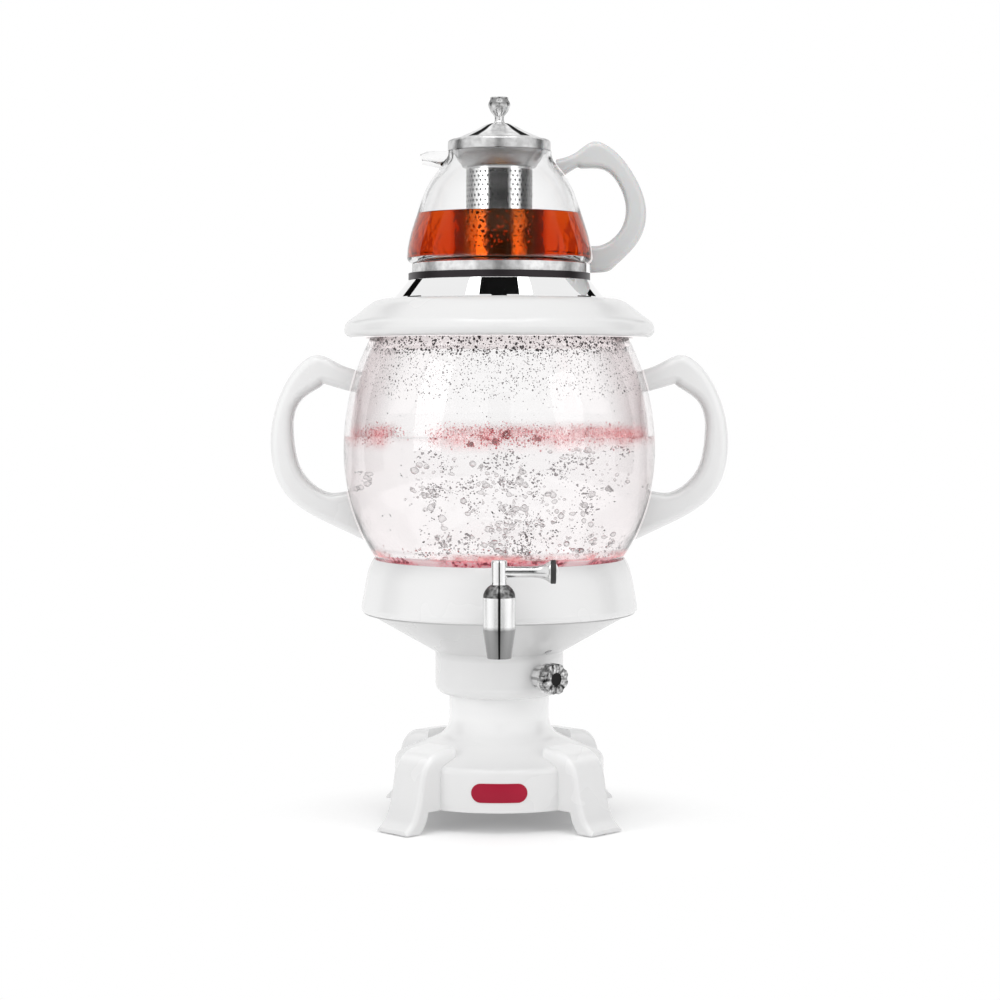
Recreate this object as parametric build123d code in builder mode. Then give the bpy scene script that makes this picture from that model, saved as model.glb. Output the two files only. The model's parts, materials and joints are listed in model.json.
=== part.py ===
"""Electric glass samovar: a footed white body, a glass water globe, a plug tap and a glass teapot on top.

The frame has +Z up, the origin on the table at the body's axis, and the tap towards -Y.
All sizes are in millimetres.
"""

import os
from math import cos, radians, sin, sqrt

from build123d import *

os.makedirs("parts", exist_ok=True)

# ---- driving dimensions -------------------------------------------------------------------------

# foot: a hollow moulding with a round skirt, a domed top, a column and four legs
SKIRT_R = 74.5
SKIRT_BOTTOM_Z = 15.0
SKIRT_TOP_Z = 44.0
DOME_TOP_Z = 61.0
COLUMN_R = 35.5
COLUMN_TOP_Z = 88.0
FOOT_WALL = 3.0
LEG_COUNT = 4
LEG_START_ANGLE = 45
LEG_HALF_WIDTH = 15.5
LEG_ROUNDING = 3.5
LEG_ROOT_R = 58.0
TOE_R = 104.0
TOE_HEIGHT = 2.5
HEEL_R = 92.5
HEEL_TOP_R = 84.0
SOLE_Z = 1.0
SHIN = [(LEG_ROOT_R, 57.0), (79.0, 53.0), (86.5, 45.5), (90.6, 30.0), (96.0, 12.0), (TOE_R, SOLE_Z + TOE_HEIGHT)]
SKIRT_ROUNDING = 5.0
DOME_BLEND_R = 16.0
PAD_CHAMFER = 0.6
PAD_CIRCLE_R = 98.0
PAD_R = 4.5
PAD_HEIGHT = 3.0
COVER_BOTTOM_Z = 18.0
COVER_THICKNESS = 2.0
VENT_CIRCLE_R = 40.0
VENT_COUNT = 3
VENT_LENGTH = 14.0
VENT_WIDTH = 3.6
BOSS_COUNT = 4
BOSS_CIRCLE_R = 58.0
BOSS_R = 3.6
SCREW_R = 1.5
SCREW_HEAD_R = 3.0
SCREW_HEAD_HEIGHT = 1.8
SCREW_LENGTH = 12.0
SCREW_FIT = 0.1
GLAND_Z = 30.0
GLAND_BORE_R = 4.0
GLAND_SLEEVE_R = 6.0
GLAND_FLANGE_R = 8.2
GLAND_FLANGE_HEIGHT = 2.4
GLAND_DEPTH = 6.0
LOOSE_FIT = 0.3

# neck housing: the drum with the controls and the shallow bowl above it
NECK_R = 45.5
NECK_ROUNDING = 8.0
BOWL_START_Z = 118.5
SHELL_WALL = 2.5
BOWL_RIM_R = 94.9
BOWL_BLEND_R = 3.0
SEAM_Z = 147.0
TIE_HOLE_R = 3.2
TIE_BOLT_R = 3.0
TIE_NUT_R = 3.05
TIE_HEX_R = 5.8
TIE_HEAD_HEIGHT = 4.0
TIE_NUT_HEIGHT = 5.0
TIE_SHANK = 16.0
TERMINAL_Y = 21.0
TERMINAL_WIDTH = 30.0
TERMINAL_DEPTH = 14.0
TERMINAL_HEIGHT = 11.0
TERMINAL_PITCH = 9.5
TERMINAL_HOLE_R = 2.0
TERMINAL_HOLE_DEPTH = 5.0

# band: the tapered white ring that carries the tap, the pan and the globe
BAND_R = 98.0
BAND_WAIST_R = 94.2
BAND_WAIST_Z = 172.0
BAND_TOP_R = 89.2
BAND_TOP_Z = 184.5
BAND_MOUTH_R = 88.0
SHELF_R = 78.5
SHELF_TOP_Z = 174.2
BAND_FLANGE_R = 88.5
BAND_FOOT_HEIGHT = 4.0
BAND_CHAMFER = 1.2
TAP_BOSS_R = 10.0
TAP_BOSS_DEPTH = 5.0
TAP_HOLE_DEPTH = 12.0
PAN_R = 76.5
PAN_BOTTOM_Z = 143.0
PAN_ROUNDING = 4.0
SHEET = 0.8
HEATER_R = 62.0
HEATER_THICKNESS = 4.0
HEATER_CHAMFER = 1.0
ELEMENT_CIRCLE_R = 46.0
ELEMENT_R = 4.0
ELEMENT_ARC = 320
ELEMENT_PIN_R = 3.0
ELEMENT_PIN_LENGTH = 12.0
ELEMENT_SINK = 1.0

# globe: two half ellipsoids that meet at the widest level, open at both ends
GLOBE_R = 110.4
GLOBE_CENTRE_Z = 261.3
GLOBE_DROP = 126.0
GLOBE_RISE = 141.0
GLASS_WALL = 4.0
GLOBE_BOTTOM_Z = 177.5
GLOBE_TOP_Z = 345.0
GLOBE_LEVELS = 8
GASKET_R = 75.2
GASKET_LIP_Z = 181.5
GASKET_COLLAR_Z = 190.0
GASKET_COLLAR_WALL = 1.8
BOND = 0.8
FIT = 0.25

# side handles
HANDLE_HALF_DEPTH = 10.0
HANDLE_ROUNDING = 6.0
HANDLE_OUTER = [
    (98.0, 317.0),
    (114.0, 322.5),
    (129.0, 328.5),
    (142.0, 321.0),
    (152.5, 306.0),
    (162.0, 266.0),
    (152.0, 231.0),
    (117.0, 207.5),
    (90.0, 194.5),
]
HANDLE_INNER = [
    (100.0, 232.5),
    (121.0, 231.0),
    (138.0, 243.0),
    (145.8, 268.0),
    (139.0, 298.0),
    (127.0, 306.0),
    (98.0, 301.0),
]
LOWER_BOND = (190.0, 240.0)
UPPER_BOND = (295.0, 330.0)
BOND_BLOCK = 60.0

# lid
LID_TOP_Z = 367.8
LID_R = 109.5
LID_OPENING_R = 62.0
LID_SKIRT_R = 95.0
LID_WIDEST_Z = 346.2
LID_BOTTOM_Z = 340.5
LID_PLUG_R = 82.5
LID_PLUG_BOTTOM_Z = 334.0
LID_WALL = 5.0
LID_PLUG_WALL = 2.0
LID_SHOULDER = [(94.0, 362.3), (104.0, 354.4), (LID_R, LID_WIDEST_Z)]
LID_FLAT_R = 80.5
LID_LIP_R = 98.0
SEAL_HEIGHT = 2.5
STAND_BASE_R = 75.5
STAND_FOOT_R = 66.0
STAND_HEM = 1.5
STAND_SHEET = 1.0
STAND_SHOULDER_R = 64.1
STAND_RIM_R = 63.5
STAND_FLOOR_Z = 382.0
STAND_RIM_Z = 385.0
STEAM_HOLE_R = 45.0

# teapot
CUP_R = 61.6
CUP_TOP_Z = 392.6
CUP_ROUNDING = 2.0
TEAPOT_WALL = 2.2
TEAPOT_FOOT_R = 60.3
TEAPOT_FOOT_CHAMFER = 6.0
TEAPOT_R = 65.2
TEAPOT_WIDEST_Z = CUP_TOP_Z + 4.9
TEAPOT_SHOULDER = [(58.3, 427.0), (47.3, 453.0), (38.4, 465.0)]
MOUTH_R = 36.8
MOUTH_Z = 471.5
SPOUT_TILT = 0.2
SPOUT_ROOT = (-30.0, 468.5)
SPOUT_ROOT_R = 11.5
SPOUT_TIP = (-55.0, 466.2)
SPOUT_TIP_R = 3.6
TROUGH_ROOT = (-30.0, 470.5)
TROUGH_ROOT_R = 9.5
TROUGH_TIP = (-54.5, 467.6)
TROUGH_TIP_R = 2.2
TEAPOT_HANDLE_OUTER = [
    (40.0, 466.0),
    (54.0, 471.0),
    (66.0, 478.5),
    (80.0, 473.0),
    (93.0, 458.0),
    (103.3, 433.0),
    (97.0, 407.0),
    (82.0, 391.5),
    (58.0, 386.5),
]
TEAPOT_HANDLE_INNER = [
    (58.0, 405.5),
    (72.0, 406.0),
    (85.0, 416.0),
    (89.4, 431.0),
    (84.0, 449.0),
    (72.0, 459.5),
    (58.0, 460.0),
    (40.0, 451.0),
]
LOWER_TEAPOT_BOND = (CUP_TOP_Z + 0.6, 410.0)
UPPER_TEAPOT_BOND = (450.0, 466.0)
TEAPOT_BOND_BLOCK = 50.0
TEAPOT_HANDLE_HALF_DEPTH = 6.5
TEAPOT_HANDLE_ROUNDING = 4.0
BASKET_R = 23.4
BASKET_BOTTOM_Z = 397.5
BASKET_SHEET = 0.6
FUNNEL_R = 31.5
FUNNEL_FOOT_R = 25.8
FUNNEL_BOTTOM_Z = 460.0
FUNNEL_TOP_Z = 469.5
FLANGE_BEND_R = 32.5
FLANGE_R = 36.0
TEAPOT_LID_R = 36.3
TEAPOT_LID_EDGE_Z = 479.5
TEAPOT_LID_SHEET = 1.4
LID_BEAD = 3.0
LID_BEAD_DROP = 2.0
ROOF_FOOT = (30.0, 480.7)
ROOF_BEND = (18.5, 485.8)
RECESS_R = 28.7
COLLAR_R = 28.9
COLLAR_DEPTH = 4.5
FINIAL_BASE_Z = 491.0
FINIAL_TOP_Z = 509.8
FINIAL_R = 7.7
FINIAL_NECK_R = 3.3
FINIAL_FOOT_R = 5.8
FINIAL_FLARE = (4.0, FINIAL_BASE_Z + 0.9)
FINIAL_FLARE_HEIGHT = 2.4
FINIAL_HEAD = [(3.5, 496.4), (5.8, 499.3), (7.1, 502.0), (FINIAL_R, 505.0), (6.3, 508.4), (0.0, FINIAL_TOP_Z)]
FINIAL_HOLE_R = 2.2
FINIAL_SCREW_R = 1.5
FINIAL_THREAD_R = 1.6
FINIAL_THREAD_DEPTH = 7.0
FINIAL_SCREW_HEAD = 1.6
FINIAL_SCREW_HEAD_R = 3.4

# tap
TAP_Y = -121.0
BARREL_TAPER = 0.3
SHANK_LENGTH = 54.0
TAP_FLANGE_R = 9.5
TAP_FLANGE_THICKNESS = 2.0
WASHER_THICKNESS = 1.5
BORE_NECK = 3.0
BORE_FLARE = 5.5
NUT_FIT = 0.1
NUT_HEIGHT = 4.5
GASKET_INSIDE = 4.0
TAP_FACE_Y = -99.0
SHANK_Z = 160.3
SHANK_R = 6.0
WATERWAY_R = 3.4
BARREL_R = 11.0
BARREL_TOP_Z = 167.8
BARREL_WAIST_Z = 145.8
SPOUT_R = 8.0
SPOUT_BOTTOM_Z = 127.4
OUTLET_R = 5.6
SEAT_Z = 148.3
PLUG_R = 4.6
PLUG_CLEARANCE = 0.1
BONNET_TOP_Z = 175.8
BONNET_R = 10.6
BONNET_EDGE = 1.2
BONNET_SHOULDER = (9.0, BONNET_TOP_Z - 3.0)
SPINDLE_R = 3.0
PLUG_PORT_R = 2.8
HUB_R = 5.4
HUB_FOOT_R = 5.8
HUB_FOOT = 1.7
HUB_ROUNDING = 1.5
HUB_CROWN = 5.0
HUB_TOP_Z = 192.3
LEVER_Z = 184.6
LEVER_R = 3.7
LEVER_REACH = 33.0
BELL_LENGTH = 12.0
BELL_HEM = 0.4
BELL_MOUTH_R = 6.8
BELL_R = 7.4
BELL_DISC = 3.2
BELL_END = 39.5

# controls in the neck
KNOB_ANGLE = 38.5
KNOB_Z = 103.9
KNOB_FACE = 63.5
KNOB_R = 10.8
KNOB_COLLAR_R = 8.2
KNOB_FLUTES = 8
THERMOSTAT_R = 10.0
THERMOSTAT_BOSS_R = 9.0
THERMOSTAT_DEPTH = 16.0
THERMOSTAT_FACE = 40.5
SHAFT_R = 3.0
SHAFT_HOLE_R = 3.6
SHAFT_SOCKET = 9.0
SHAFT_BITE = 8.0
KNOB_SOCKET_END = 5.0
KNOB_GAP = 0.6
KNOB_COLLAR_END = 9.0
FLUTE_R = 3.6
FLUTE_CIRCLE_R = 13.4
CAP_R = 4.5
CAP_HEIGHT = 1.0
CAP_RECESS = 1.5
LAMP_ANGLE = 42.0
LAMP_RADIUS = 51.0
LAMP_R = 2.0
LAMP_SEAT_R = 2.8
LAMP_LENS_R = 2.6
LAMP_RECESS = 0.6
LAMP_LENS_HEIGHT = 0.9
LAMP_ROUNDING = 0.5
LAMP_BODY = 4.0
CLOSE_FIT = 0.05
TIGHT_FIT = 0.02


# ---- helpers ------------------------------------------------------------------------------------


def keep(builder, name):
    """Labels a finished piece and writes its STEP file."""
    builder.part.label = name
    export_step(builder.part, f"parts/{name}.step")


def outward_plane(angle, distance, height):
    """A plane that faces away from the axis, angle degrees from the tap's side towards +X."""
    turn = radians(angle)
    outward = Vector(sin(turn), -cos(turn), 0)
    across = Vector(cos(turn), sin(turn), 0)
    return Plane(origin=outward * distance + Vector(0, 0, height), x_dir=across, z_dir=outward)


def turn_profile(*points, corners=(), mode=Mode.ADD):
    """Revolves a closed outline of (radius, height) points, with (point, radius) roundings."""
    with BuildSketch(Plane.XZ) as outline:
        with BuildLine():
            Polyline(*points, close=True)
        make_face()
        for corner, radius in corners:
            fillet(vertices().sort_by_distance(corner)[0], radius)
    revolve(outline.sketch, axis=Axis.Z, mode=mode)


def globe_radius(height, inset=0.0):
    """The globe's radius at a height, inset millimetres inside its outer face."""
    rise = (GLOBE_RISE if height > GLOBE_CENTRE_Z else GLOBE_DROP) - inset
    return (GLOBE_R - inset) * sqrt(1 - ((height - GLOBE_CENTRE_Z) / rise) ** 2)


def globe_body(inset, mode):
    """The globe's outer form as a solid, inset millimetres smaller, combined with the open part."""
    step = (GLOBE_TOP_Z - GLOBE_BOTTOM_Z) / GLOBE_LEVELS
    levels = [GLOBE_BOTTOM_Z + step * number for number in range(GLOBE_LEVELS + 1)]
    with BuildSketch(Plane.XZ) as outline:
        with BuildLine():
            wall = Spline(*[(globe_radius(level, inset), level) for level in levels])
            Polyline(wall @ 1, (0, GLOBE_TOP_Z), (0, GLOBE_BOTTOM_Z), wall @ 0)
        make_face()
    revolve(outline.sketch, axis=Axis.Z, mode=mode)


def teapot_body(grow, mode):
    """The teapot glass's outer form above its foot, grown outwards, combined with the open part."""
    with BuildSketch(Plane.XZ) as outline:
        with BuildLine():
            foot = Polyline(
                (0, STAND_FLOOR_Z + SHEET - grow),
                (TEAPOT_FOOT_R - TEAPOT_FOOT_CHAMFER + grow, STAND_FLOOR_Z + SHEET - grow),
                (TEAPOT_FOOT_R + grow, STAND_FLOOR_Z + SHEET + TEAPOT_FOOT_CHAMFER - grow),
                (TEAPOT_FOOT_R + grow, CUP_TOP_Z + LOOSE_FIT - grow),
            )
            belly = ThreePointArc(
                foot @ 1,
                (TEAPOT_R - 1.4 + grow, CUP_TOP_Z + 1.5 - grow * 0.8),
                (TEAPOT_R + grow, TEAPOT_WIDEST_Z),
            )
            shoulder = [(radius + grow, height) for radius, height in TEAPOT_SHOULDER]
            side = Spline(belly @ 1, *shoulder, (MOUTH_R + grow, MOUTH_Z), tangents=(belly % 1, (-0.05, 1)))
            Polyline(side @ 1, (0, MOUTH_Z), foot @ 0)
        make_face()
    revolve(outline.sketch, axis=Axis.Z, mode=mode)


def spout_plane(place):
    """A plane across the teapot's spout at an (x, height) place, tilted with the spout."""
    return Plane(origin=(place[0], 0, place[1]), x_dir=(0, 1, 0), z_dir=(-1, 0, -SPOUT_TILT))


def long_edges_at(half_depth, shortest):
    """The open part's long outline edges on its two flat sides, half_depth either side of the XZ plane."""
    outline = edges().filter_by(lambda edge: abs(abs(edge.center().Y) - half_depth) < LOOSE_FIT)
    return outline.filter_by(lambda edge: edge.length > shortest)


# ---- foot ---------------------------------------------------------------------------------------

with BuildPart() as leg:
    with BuildSketch(Plane.XZ):
        with BuildLine():
            shin = Spline(*SHIN, tangents=((1, -0.15), (1, -0.8)))
            sole = Polyline(shin @ 1, (TOE_R, SOLE_Z), (HEEL_R, SOLE_Z))
            heel = Spline(sole @ 1, (HEEL_TOP_R, SKIRT_BOTTOM_Z), tangents=((-0.7, 0.4), (-0.3, 1)))
            Polyline(heel @ 1, (LEG_ROOT_R, SKIRT_BOTTOM_Z), shin @ 0)
        make_face()
    extrude(amount=LEG_HALF_WIDTH, both=True)
    fillet(long_edges_at(LEG_HALF_WIDTH, TOE_R - LEG_ROOT_R), LEG_ROUNDING)
    with Locations((PAD_CIRCLE_R, 0, SOLE_Z)):
        Cylinder(PAD_R, PAD_HEIGHT - SOLE_Z, align=(Align.CENTER, Align.CENTER, Align.MIN), mode=Mode.SUBTRACT)

with BuildPart() as foot_cavity:
    turn_profile(
        (0, SKIRT_BOTTOM_Z),
        (SKIRT_R - FOOT_WALL, SKIRT_BOTTOM_Z),
        (SKIRT_R - FOOT_WALL, SKIRT_TOP_Z - FOOT_WALL),
        (COLUMN_R - FOOT_WALL, DOME_TOP_Z - FOOT_WALL),
        (COLUMN_R - FOOT_WALL, COLUMN_TOP_Z - FOOT_WALL),
        (0, COLUMN_TOP_Z - FOOT_WALL),
        corners=[((COLUMN_R - FOOT_WALL, DOME_TOP_Z - FOOT_WALL), DOME_BLEND_R)],
    )
    with BuildSketch(Plane.XY.offset(COVER_BOTTOM_Z + COVER_THICKNESS)):
        with PolarLocations(BOSS_CIRCLE_R, BOSS_COUNT):
            Circle(BOSS_R)
            Circle(SCREW_R + SCREW_FIT, mode=Mode.SUBTRACT)
    extrude(amount=COLUMN_TOP_Z, mode=Mode.SUBTRACT)

with BuildPart() as pedestal_base:
    turn_profile(
        (0, SKIRT_BOTTOM_Z),
        (SKIRT_R, SKIRT_BOTTOM_Z),
        (SKIRT_R, SKIRT_TOP_Z),
        (COLUMN_R, DOME_TOP_Z),
        (COLUMN_R, COLUMN_TOP_Z),
        (0, COLUMN_TOP_Z),
        corners=[((SKIRT_R, SKIRT_TOP_Z), SKIRT_ROUNDING), ((COLUMN_R, DOME_TOP_Z), DOME_BLEND_R)],
    )
    with PolarLocations(0, LEG_COUNT, start_angle=LEG_START_ANGLE):
        add(leg.part)
    add(foot_cavity.part, mode=Mode.SUBTRACT)
    with Locations((0, 0, COLUMN_TOP_Z)):
        Cylinder(TIE_HOLE_R, 3 * FOOT_WALL, mode=Mode.SUBTRACT)
    with BuildSketch(Plane.XZ.offset(-SKIRT_R + 2 * FOOT_WALL)):
        with Locations((0, GLAND_Z)):
            Circle(GLAND_SLEEVE_R + SCREW_FIT)
    extrude(amount=-3 * FOOT_WALL, mode=Mode.SUBTRACT)
keep(pedestal_base, "pedestal_base")

for number in range(LEG_COUNT):
    with BuildPart() as foot_pad:
        with PolarLocations(PAD_CIRCLE_R, 1, start_angle=LEG_START_ANGLE + number * 360 / LEG_COUNT):
            Cylinder(PAD_R, PAD_HEIGHT, align=(Align.CENTER, Align.CENTER, Align.MIN))
        chamfer(faces().sort_by(Axis.Z)[0].edges(), PAD_CHAMFER)
    keep(foot_pad, f"foot_pad_{number + 1}")

with BuildPart() as base_cover:
    with BuildSketch(Plane.XY.offset(COVER_BOTTOM_Z)):
        Circle(SKIRT_R - FOOT_WALL - LOOSE_FIT)
        with PolarLocations(BOSS_CIRCLE_R, BOSS_COUNT):
            Circle(SCREW_R + LOOSE_FIT, mode=Mode.SUBTRACT)
        with PolarLocations(VENT_CIRCLE_R, VENT_COUNT, start_angle=30):
            SlotCenterToCenter(VENT_LENGTH, VENT_WIDTH, rotation=90, mode=Mode.SUBTRACT)
    extrude(amount=COVER_THICKNESS)
keep(base_cover, "base_cover")

for number in range(BOSS_COUNT):
    with BuildPart() as cover_screw:
        with PolarLocations(BOSS_CIRCLE_R, 1, start_angle=number * 360 / BOSS_COUNT):
            with Locations((0, 0, COVER_BOTTOM_Z)):
                Cylinder(SCREW_R, SCREW_LENGTH, align=(Align.CENTER, Align.CENTER, Align.MIN))
                Cylinder(SCREW_HEAD_R, SCREW_HEAD_HEIGHT, align=(Align.CENTER, Align.CENTER, Align.MAX))
    keep(cover_screw, f"cover_screw_{number + 1}")

with BuildPart() as cord_gland:
    with BuildSketch(Plane.XZ.offset(-SKIRT_R)):
        with Locations((0, GLAND_Z)):
            Circle(GLAND_FLANGE_R)
    extrude(amount=-GLAND_FLANGE_HEIGHT)
    with BuildSketch(Plane.XZ.offset(-SKIRT_R)):
        with Locations((0, GLAND_Z)):
            Circle(GLAND_SLEEVE_R)
    extrude(amount=GLAND_DEPTH)
    with BuildSketch(Plane.XZ.offset(-SKIRT_R - GLAND_FLANGE_HEIGHT)):
        with Locations((0, GLAND_Z)):
            Circle(GLAND_BORE_R)
    extrude(amount=GLAND_FLANGE_HEIGHT + GLAND_DEPTH, mode=Mode.SUBTRACT)
keep(cord_gland, "cord_gland")

# ---- neck housing and what it holds -------------------------------------------------------------

bowl_slope = (SEAM_Z - BOWL_START_Z) / (BOWL_RIM_R - NECK_R)
bowl_rise = SHELL_WALL * sqrt(1 + bowl_slope**2)
lamp_z = BOWL_START_Z + bowl_slope * (LAMP_RADIUS - NECK_R)
lamp_seat = Plane(
    origin=outward_plane(LAMP_ANGLE, LAMP_RADIUS, lamp_z).origin,
    z_dir=outward_plane(LAMP_ANGLE, 0, 0).z_dir * bowl_slope - Vector(0, 0, 1),
)

with BuildPart() as neck_housing:
    turn_profile(
        (TIE_HOLE_R, COLUMN_TOP_Z),
        (NECK_R, COLUMN_TOP_Z),
        (NECK_R, BOWL_START_Z),
        (BOWL_RIM_R, SEAM_Z),
        (BOWL_RIM_R - bowl_rise / bowl_slope, SEAM_Z),
        (NECK_R - SHELL_WALL, BOWL_START_Z + bowl_rise - SHELL_WALL * bowl_slope),
        (NECK_R - SHELL_WALL, COLUMN_TOP_Z + SHELL_WALL),
        (TIE_HOLE_R, COLUMN_TOP_Z + SHELL_WALL),
        corners=[
            ((NECK_R, COLUMN_TOP_Z), NECK_ROUNDING),
            ((NECK_R, BOWL_START_Z), BOWL_BLEND_R),
            ((NECK_R - SHELL_WALL, COLUMN_TOP_Z + SHELL_WALL), NECK_ROUNDING - SHELL_WALL),
        ],
    )
    with BuildSketch(outward_plane(KNOB_ANGLE, THERMOSTAT_FACE, KNOB_Z)):
        Circle(THERMOSTAT_BOSS_R)
    extrude(amount=NECK_R - SHELL_WALL - THERMOSTAT_FACE)
    with BuildSketch(outward_plane(KNOB_ANGLE, THERMOSTAT_FACE - SHELL_WALL, KNOB_Z)):
        Circle(SHAFT_HOLE_R)
    extrude(amount=NECK_R, mode=Mode.SUBTRACT)
    with BuildSketch(lamp_seat.offset(-LAMP_RECESS)):
        Circle(LAMP_SEAT_R)
    extrude(amount=LAMP_RECESS + SHELL_WALL, mode=Mode.SUBTRACT)
    with BuildSketch(lamp_seat):
        Circle(LAMP_R + CLOSE_FIT)
    extrude(amount=-2 * SHELL_WALL, mode=Mode.SUBTRACT)
keep(neck_housing, "neck_housing")

with BuildPart() as indicator_lens:
    with BuildSketch(lamp_seat.offset(-LAMP_RECESS)):
        Circle(LAMP_LENS_R)
    extrude(amount=LAMP_LENS_HEIGHT)
    fillet(edges().group_by(Axis(lamp_seat.origin, lamp_seat.z_dir))[-1], LAMP_ROUNDING)
    with BuildSketch(lamp_seat.offset(-LAMP_RECESS)):
        Circle(LAMP_R)
    extrude(amount=-LAMP_BODY)
keep(indicator_lens, "indicator_lens")

with BuildPart() as tie_bolt:
    with BuildSketch(Plane.XY.offset(COLUMN_TOP_Z + SHELL_WALL)):
        RegularPolygon(TIE_HEX_R, 6)
    extrude(amount=TIE_HEAD_HEIGHT)
    with BuildSketch(Plane.XY.offset(COLUMN_TOP_Z + SHELL_WALL)):
        Circle(TIE_BOLT_R)
    extrude(amount=-TIE_SHANK)
keep(tie_bolt, "tie_bolt")

with BuildPart() as tie_nut:
    with BuildSketch(Plane.XY.offset(COLUMN_TOP_Z - FOOT_WALL)):
        RegularPolygon(TIE_HEX_R, 6)
        Circle(TIE_NUT_R, mode=Mode.SUBTRACT)
    extrude(amount=-TIE_NUT_HEIGHT)
keep(tie_nut, "tie_nut")

with BuildPart() as terminal_block:
    with BuildSketch(Plane.XY.offset(COLUMN_TOP_Z + SHELL_WALL)):
        with Locations((0, TERMINAL_Y)):
            Rectangle(TERMINAL_WIDTH, TERMINAL_DEPTH)
    extrude(amount=TERMINAL_HEIGHT)
    with BuildSketch(Plane.XY.offset(COLUMN_TOP_Z + SHELL_WALL + TERMINAL_HEIGHT)):
        with Locations((0, TERMINAL_Y)):
            with GridLocations(TERMINAL_PITCH, 0, 3, 1):
                Circle(TERMINAL_HOLE_R)
    extrude(amount=-TERMINAL_HOLE_DEPTH, mode=Mode.SUBTRACT)
keep(terminal_block, "terminal_block")

with BuildPart() as thermostat_body:
    with BuildSketch(outward_plane(KNOB_ANGLE, THERMOSTAT_FACE, KNOB_Z)):
        Circle(THERMOSTAT_R)
    extrude(amount=-THERMOSTAT_DEPTH)
    with BuildSketch(outward_plane(KNOB_ANGLE, THERMOSTAT_FACE, KNOB_Z)):
        Circle(SHAFT_R + PLUG_CLEARANCE)
    extrude(amount=-SHAFT_SOCKET, mode=Mode.SUBTRACT)
keep(thermostat_body, "thermostat_body")

# ---- band, pan and heater -----------------------------------------------------------------------

with BuildPart() as cup_band:
    with BuildSketch(Plane.XZ):
        with BuildLine():
            skirt = Polyline(
                (BAND_FLANGE_R, SEAM_Z),
                (BAND_R - BAND_CHAMFER, SEAM_Z),
                (BAND_R, SEAM_Z + BAND_CHAMFER),
                (BAND_R, SEAM_Z + BAND_FOOT_HEIGHT),
                (BAND_WAIST_R, BAND_WAIST_Z),
            )
            crown = TangentArc(skirt @ 1, (BAND_TOP_R, BAND_TOP_Z), tangent=skirt % 1)
            Polyline(
                crown @ 1,
                (BAND_MOUTH_R, BAND_TOP_Z),
                (BAND_MOUTH_R, SHELF_TOP_Z),
                (SHELF_R, SHELF_TOP_Z),
                (SHELF_R, SHELF_TOP_Z - SHELL_WALL),
                (BAND_WAIST_R - SHELL_WALL, SHELF_TOP_Z - SHELL_WALL),
                (BAND_R - SHELL_WALL, SEAM_Z + BAND_FOOT_HEIGHT),
                (BAND_R - SHELL_WALL, SEAM_Z + SHELL_WALL),
                (BAND_FLANGE_R, SEAM_Z + SHELL_WALL),
                skirt @ 0,
            )
        make_face()
    revolve(axis=Axis.Z)
    with BuildSketch(outward_plane(0, -TAP_FACE_Y, SHANK_Z)):
        Circle(TAP_BOSS_R)
    extrude(amount=-TAP_BOSS_DEPTH)
    with BuildSketch(outward_plane(0, -TAP_FACE_Y, SHANK_Z)):
        Circle(SHANK_R + FIT)
    extrude(amount=-TAP_HOLE_DEPTH, mode=Mode.SUBTRACT)
keep(cup_band, "cup_band")

with BuildPart() as tank_pan:
    turn_profile(
        (0, PAN_BOTTOM_Z),
        (PAN_R, PAN_BOTTOM_Z),
        (PAN_R, SHELF_TOP_Z),
        (BAND_MOUTH_R - FIT, SHELF_TOP_Z),
        (BAND_MOUTH_R - FIT, SHELF_TOP_Z + SHEET),
        (PAN_R - SHEET, SHELF_TOP_Z + SHEET),
        (PAN_R - SHEET, PAN_BOTTOM_Z + SHEET),
        (0, PAN_BOTTOM_Z + SHEET),
        corners=[
            ((PAN_R, PAN_BOTTOM_Z), PAN_ROUNDING),
            ((PAN_R - SHEET, PAN_BOTTOM_Z + SHEET), PAN_ROUNDING - SHEET),
        ],
    )
    with BuildSketch(outward_plane(0, PAN_R, SHANK_Z)):
        Circle(SHANK_R + FIT)
    extrude(amount=TAP_BOSS_DEPTH, both=True, mode=Mode.SUBTRACT)
keep(tank_pan, "tank_pan")

with BuildPart() as heater_plate:
    with BuildSketch(Plane.XY.offset(PAN_BOTTOM_Z)):
        Circle(HEATER_R)
    extrude(amount=-HEATER_THICKNESS)
    chamfer(faces().sort_by(Axis.Z)[0].edges(), HEATER_CHAMFER)
keep(heater_plate, "heater_plate")

element_z = PAN_BOTTOM_Z - HEATER_THICKNESS - ELEMENT_R + ELEMENT_SINK
with BuildPart() as heating_element:
    with BuildSketch(Plane.XZ):
        with Locations((ELEMENT_CIRCLE_R, element_z)):
            Circle(ELEMENT_R)
    revolve(axis=Axis.Z, revolution_arc=ELEMENT_ARC)
    with BuildSketch(Plane.XY.offset(element_z)):
        with Locations((ELEMENT_CIRCLE_R, 0)):
            Circle(ELEMENT_PIN_R)
        with PolarLocations(ELEMENT_CIRCLE_R, 1, start_angle=ELEMENT_ARC):
            Circle(ELEMENT_PIN_R)
    extrude(amount=-ELEMENT_PIN_LENGTH)
    split(bisect_by=Plane.XY.offset(PAN_BOTTOM_Z - HEATER_THICKNESS), keep=Keep.BOTTOM)
keep(heating_element, "heating_element")

# ---- globe, its gasket and the side handles -----------------------------------------------------

with BuildPart() as globe:
    globe_body(0, Mode.ADD)
    globe_body(GLASS_WALL, Mode.SUBTRACT)
keep(globe, "globe")

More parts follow.
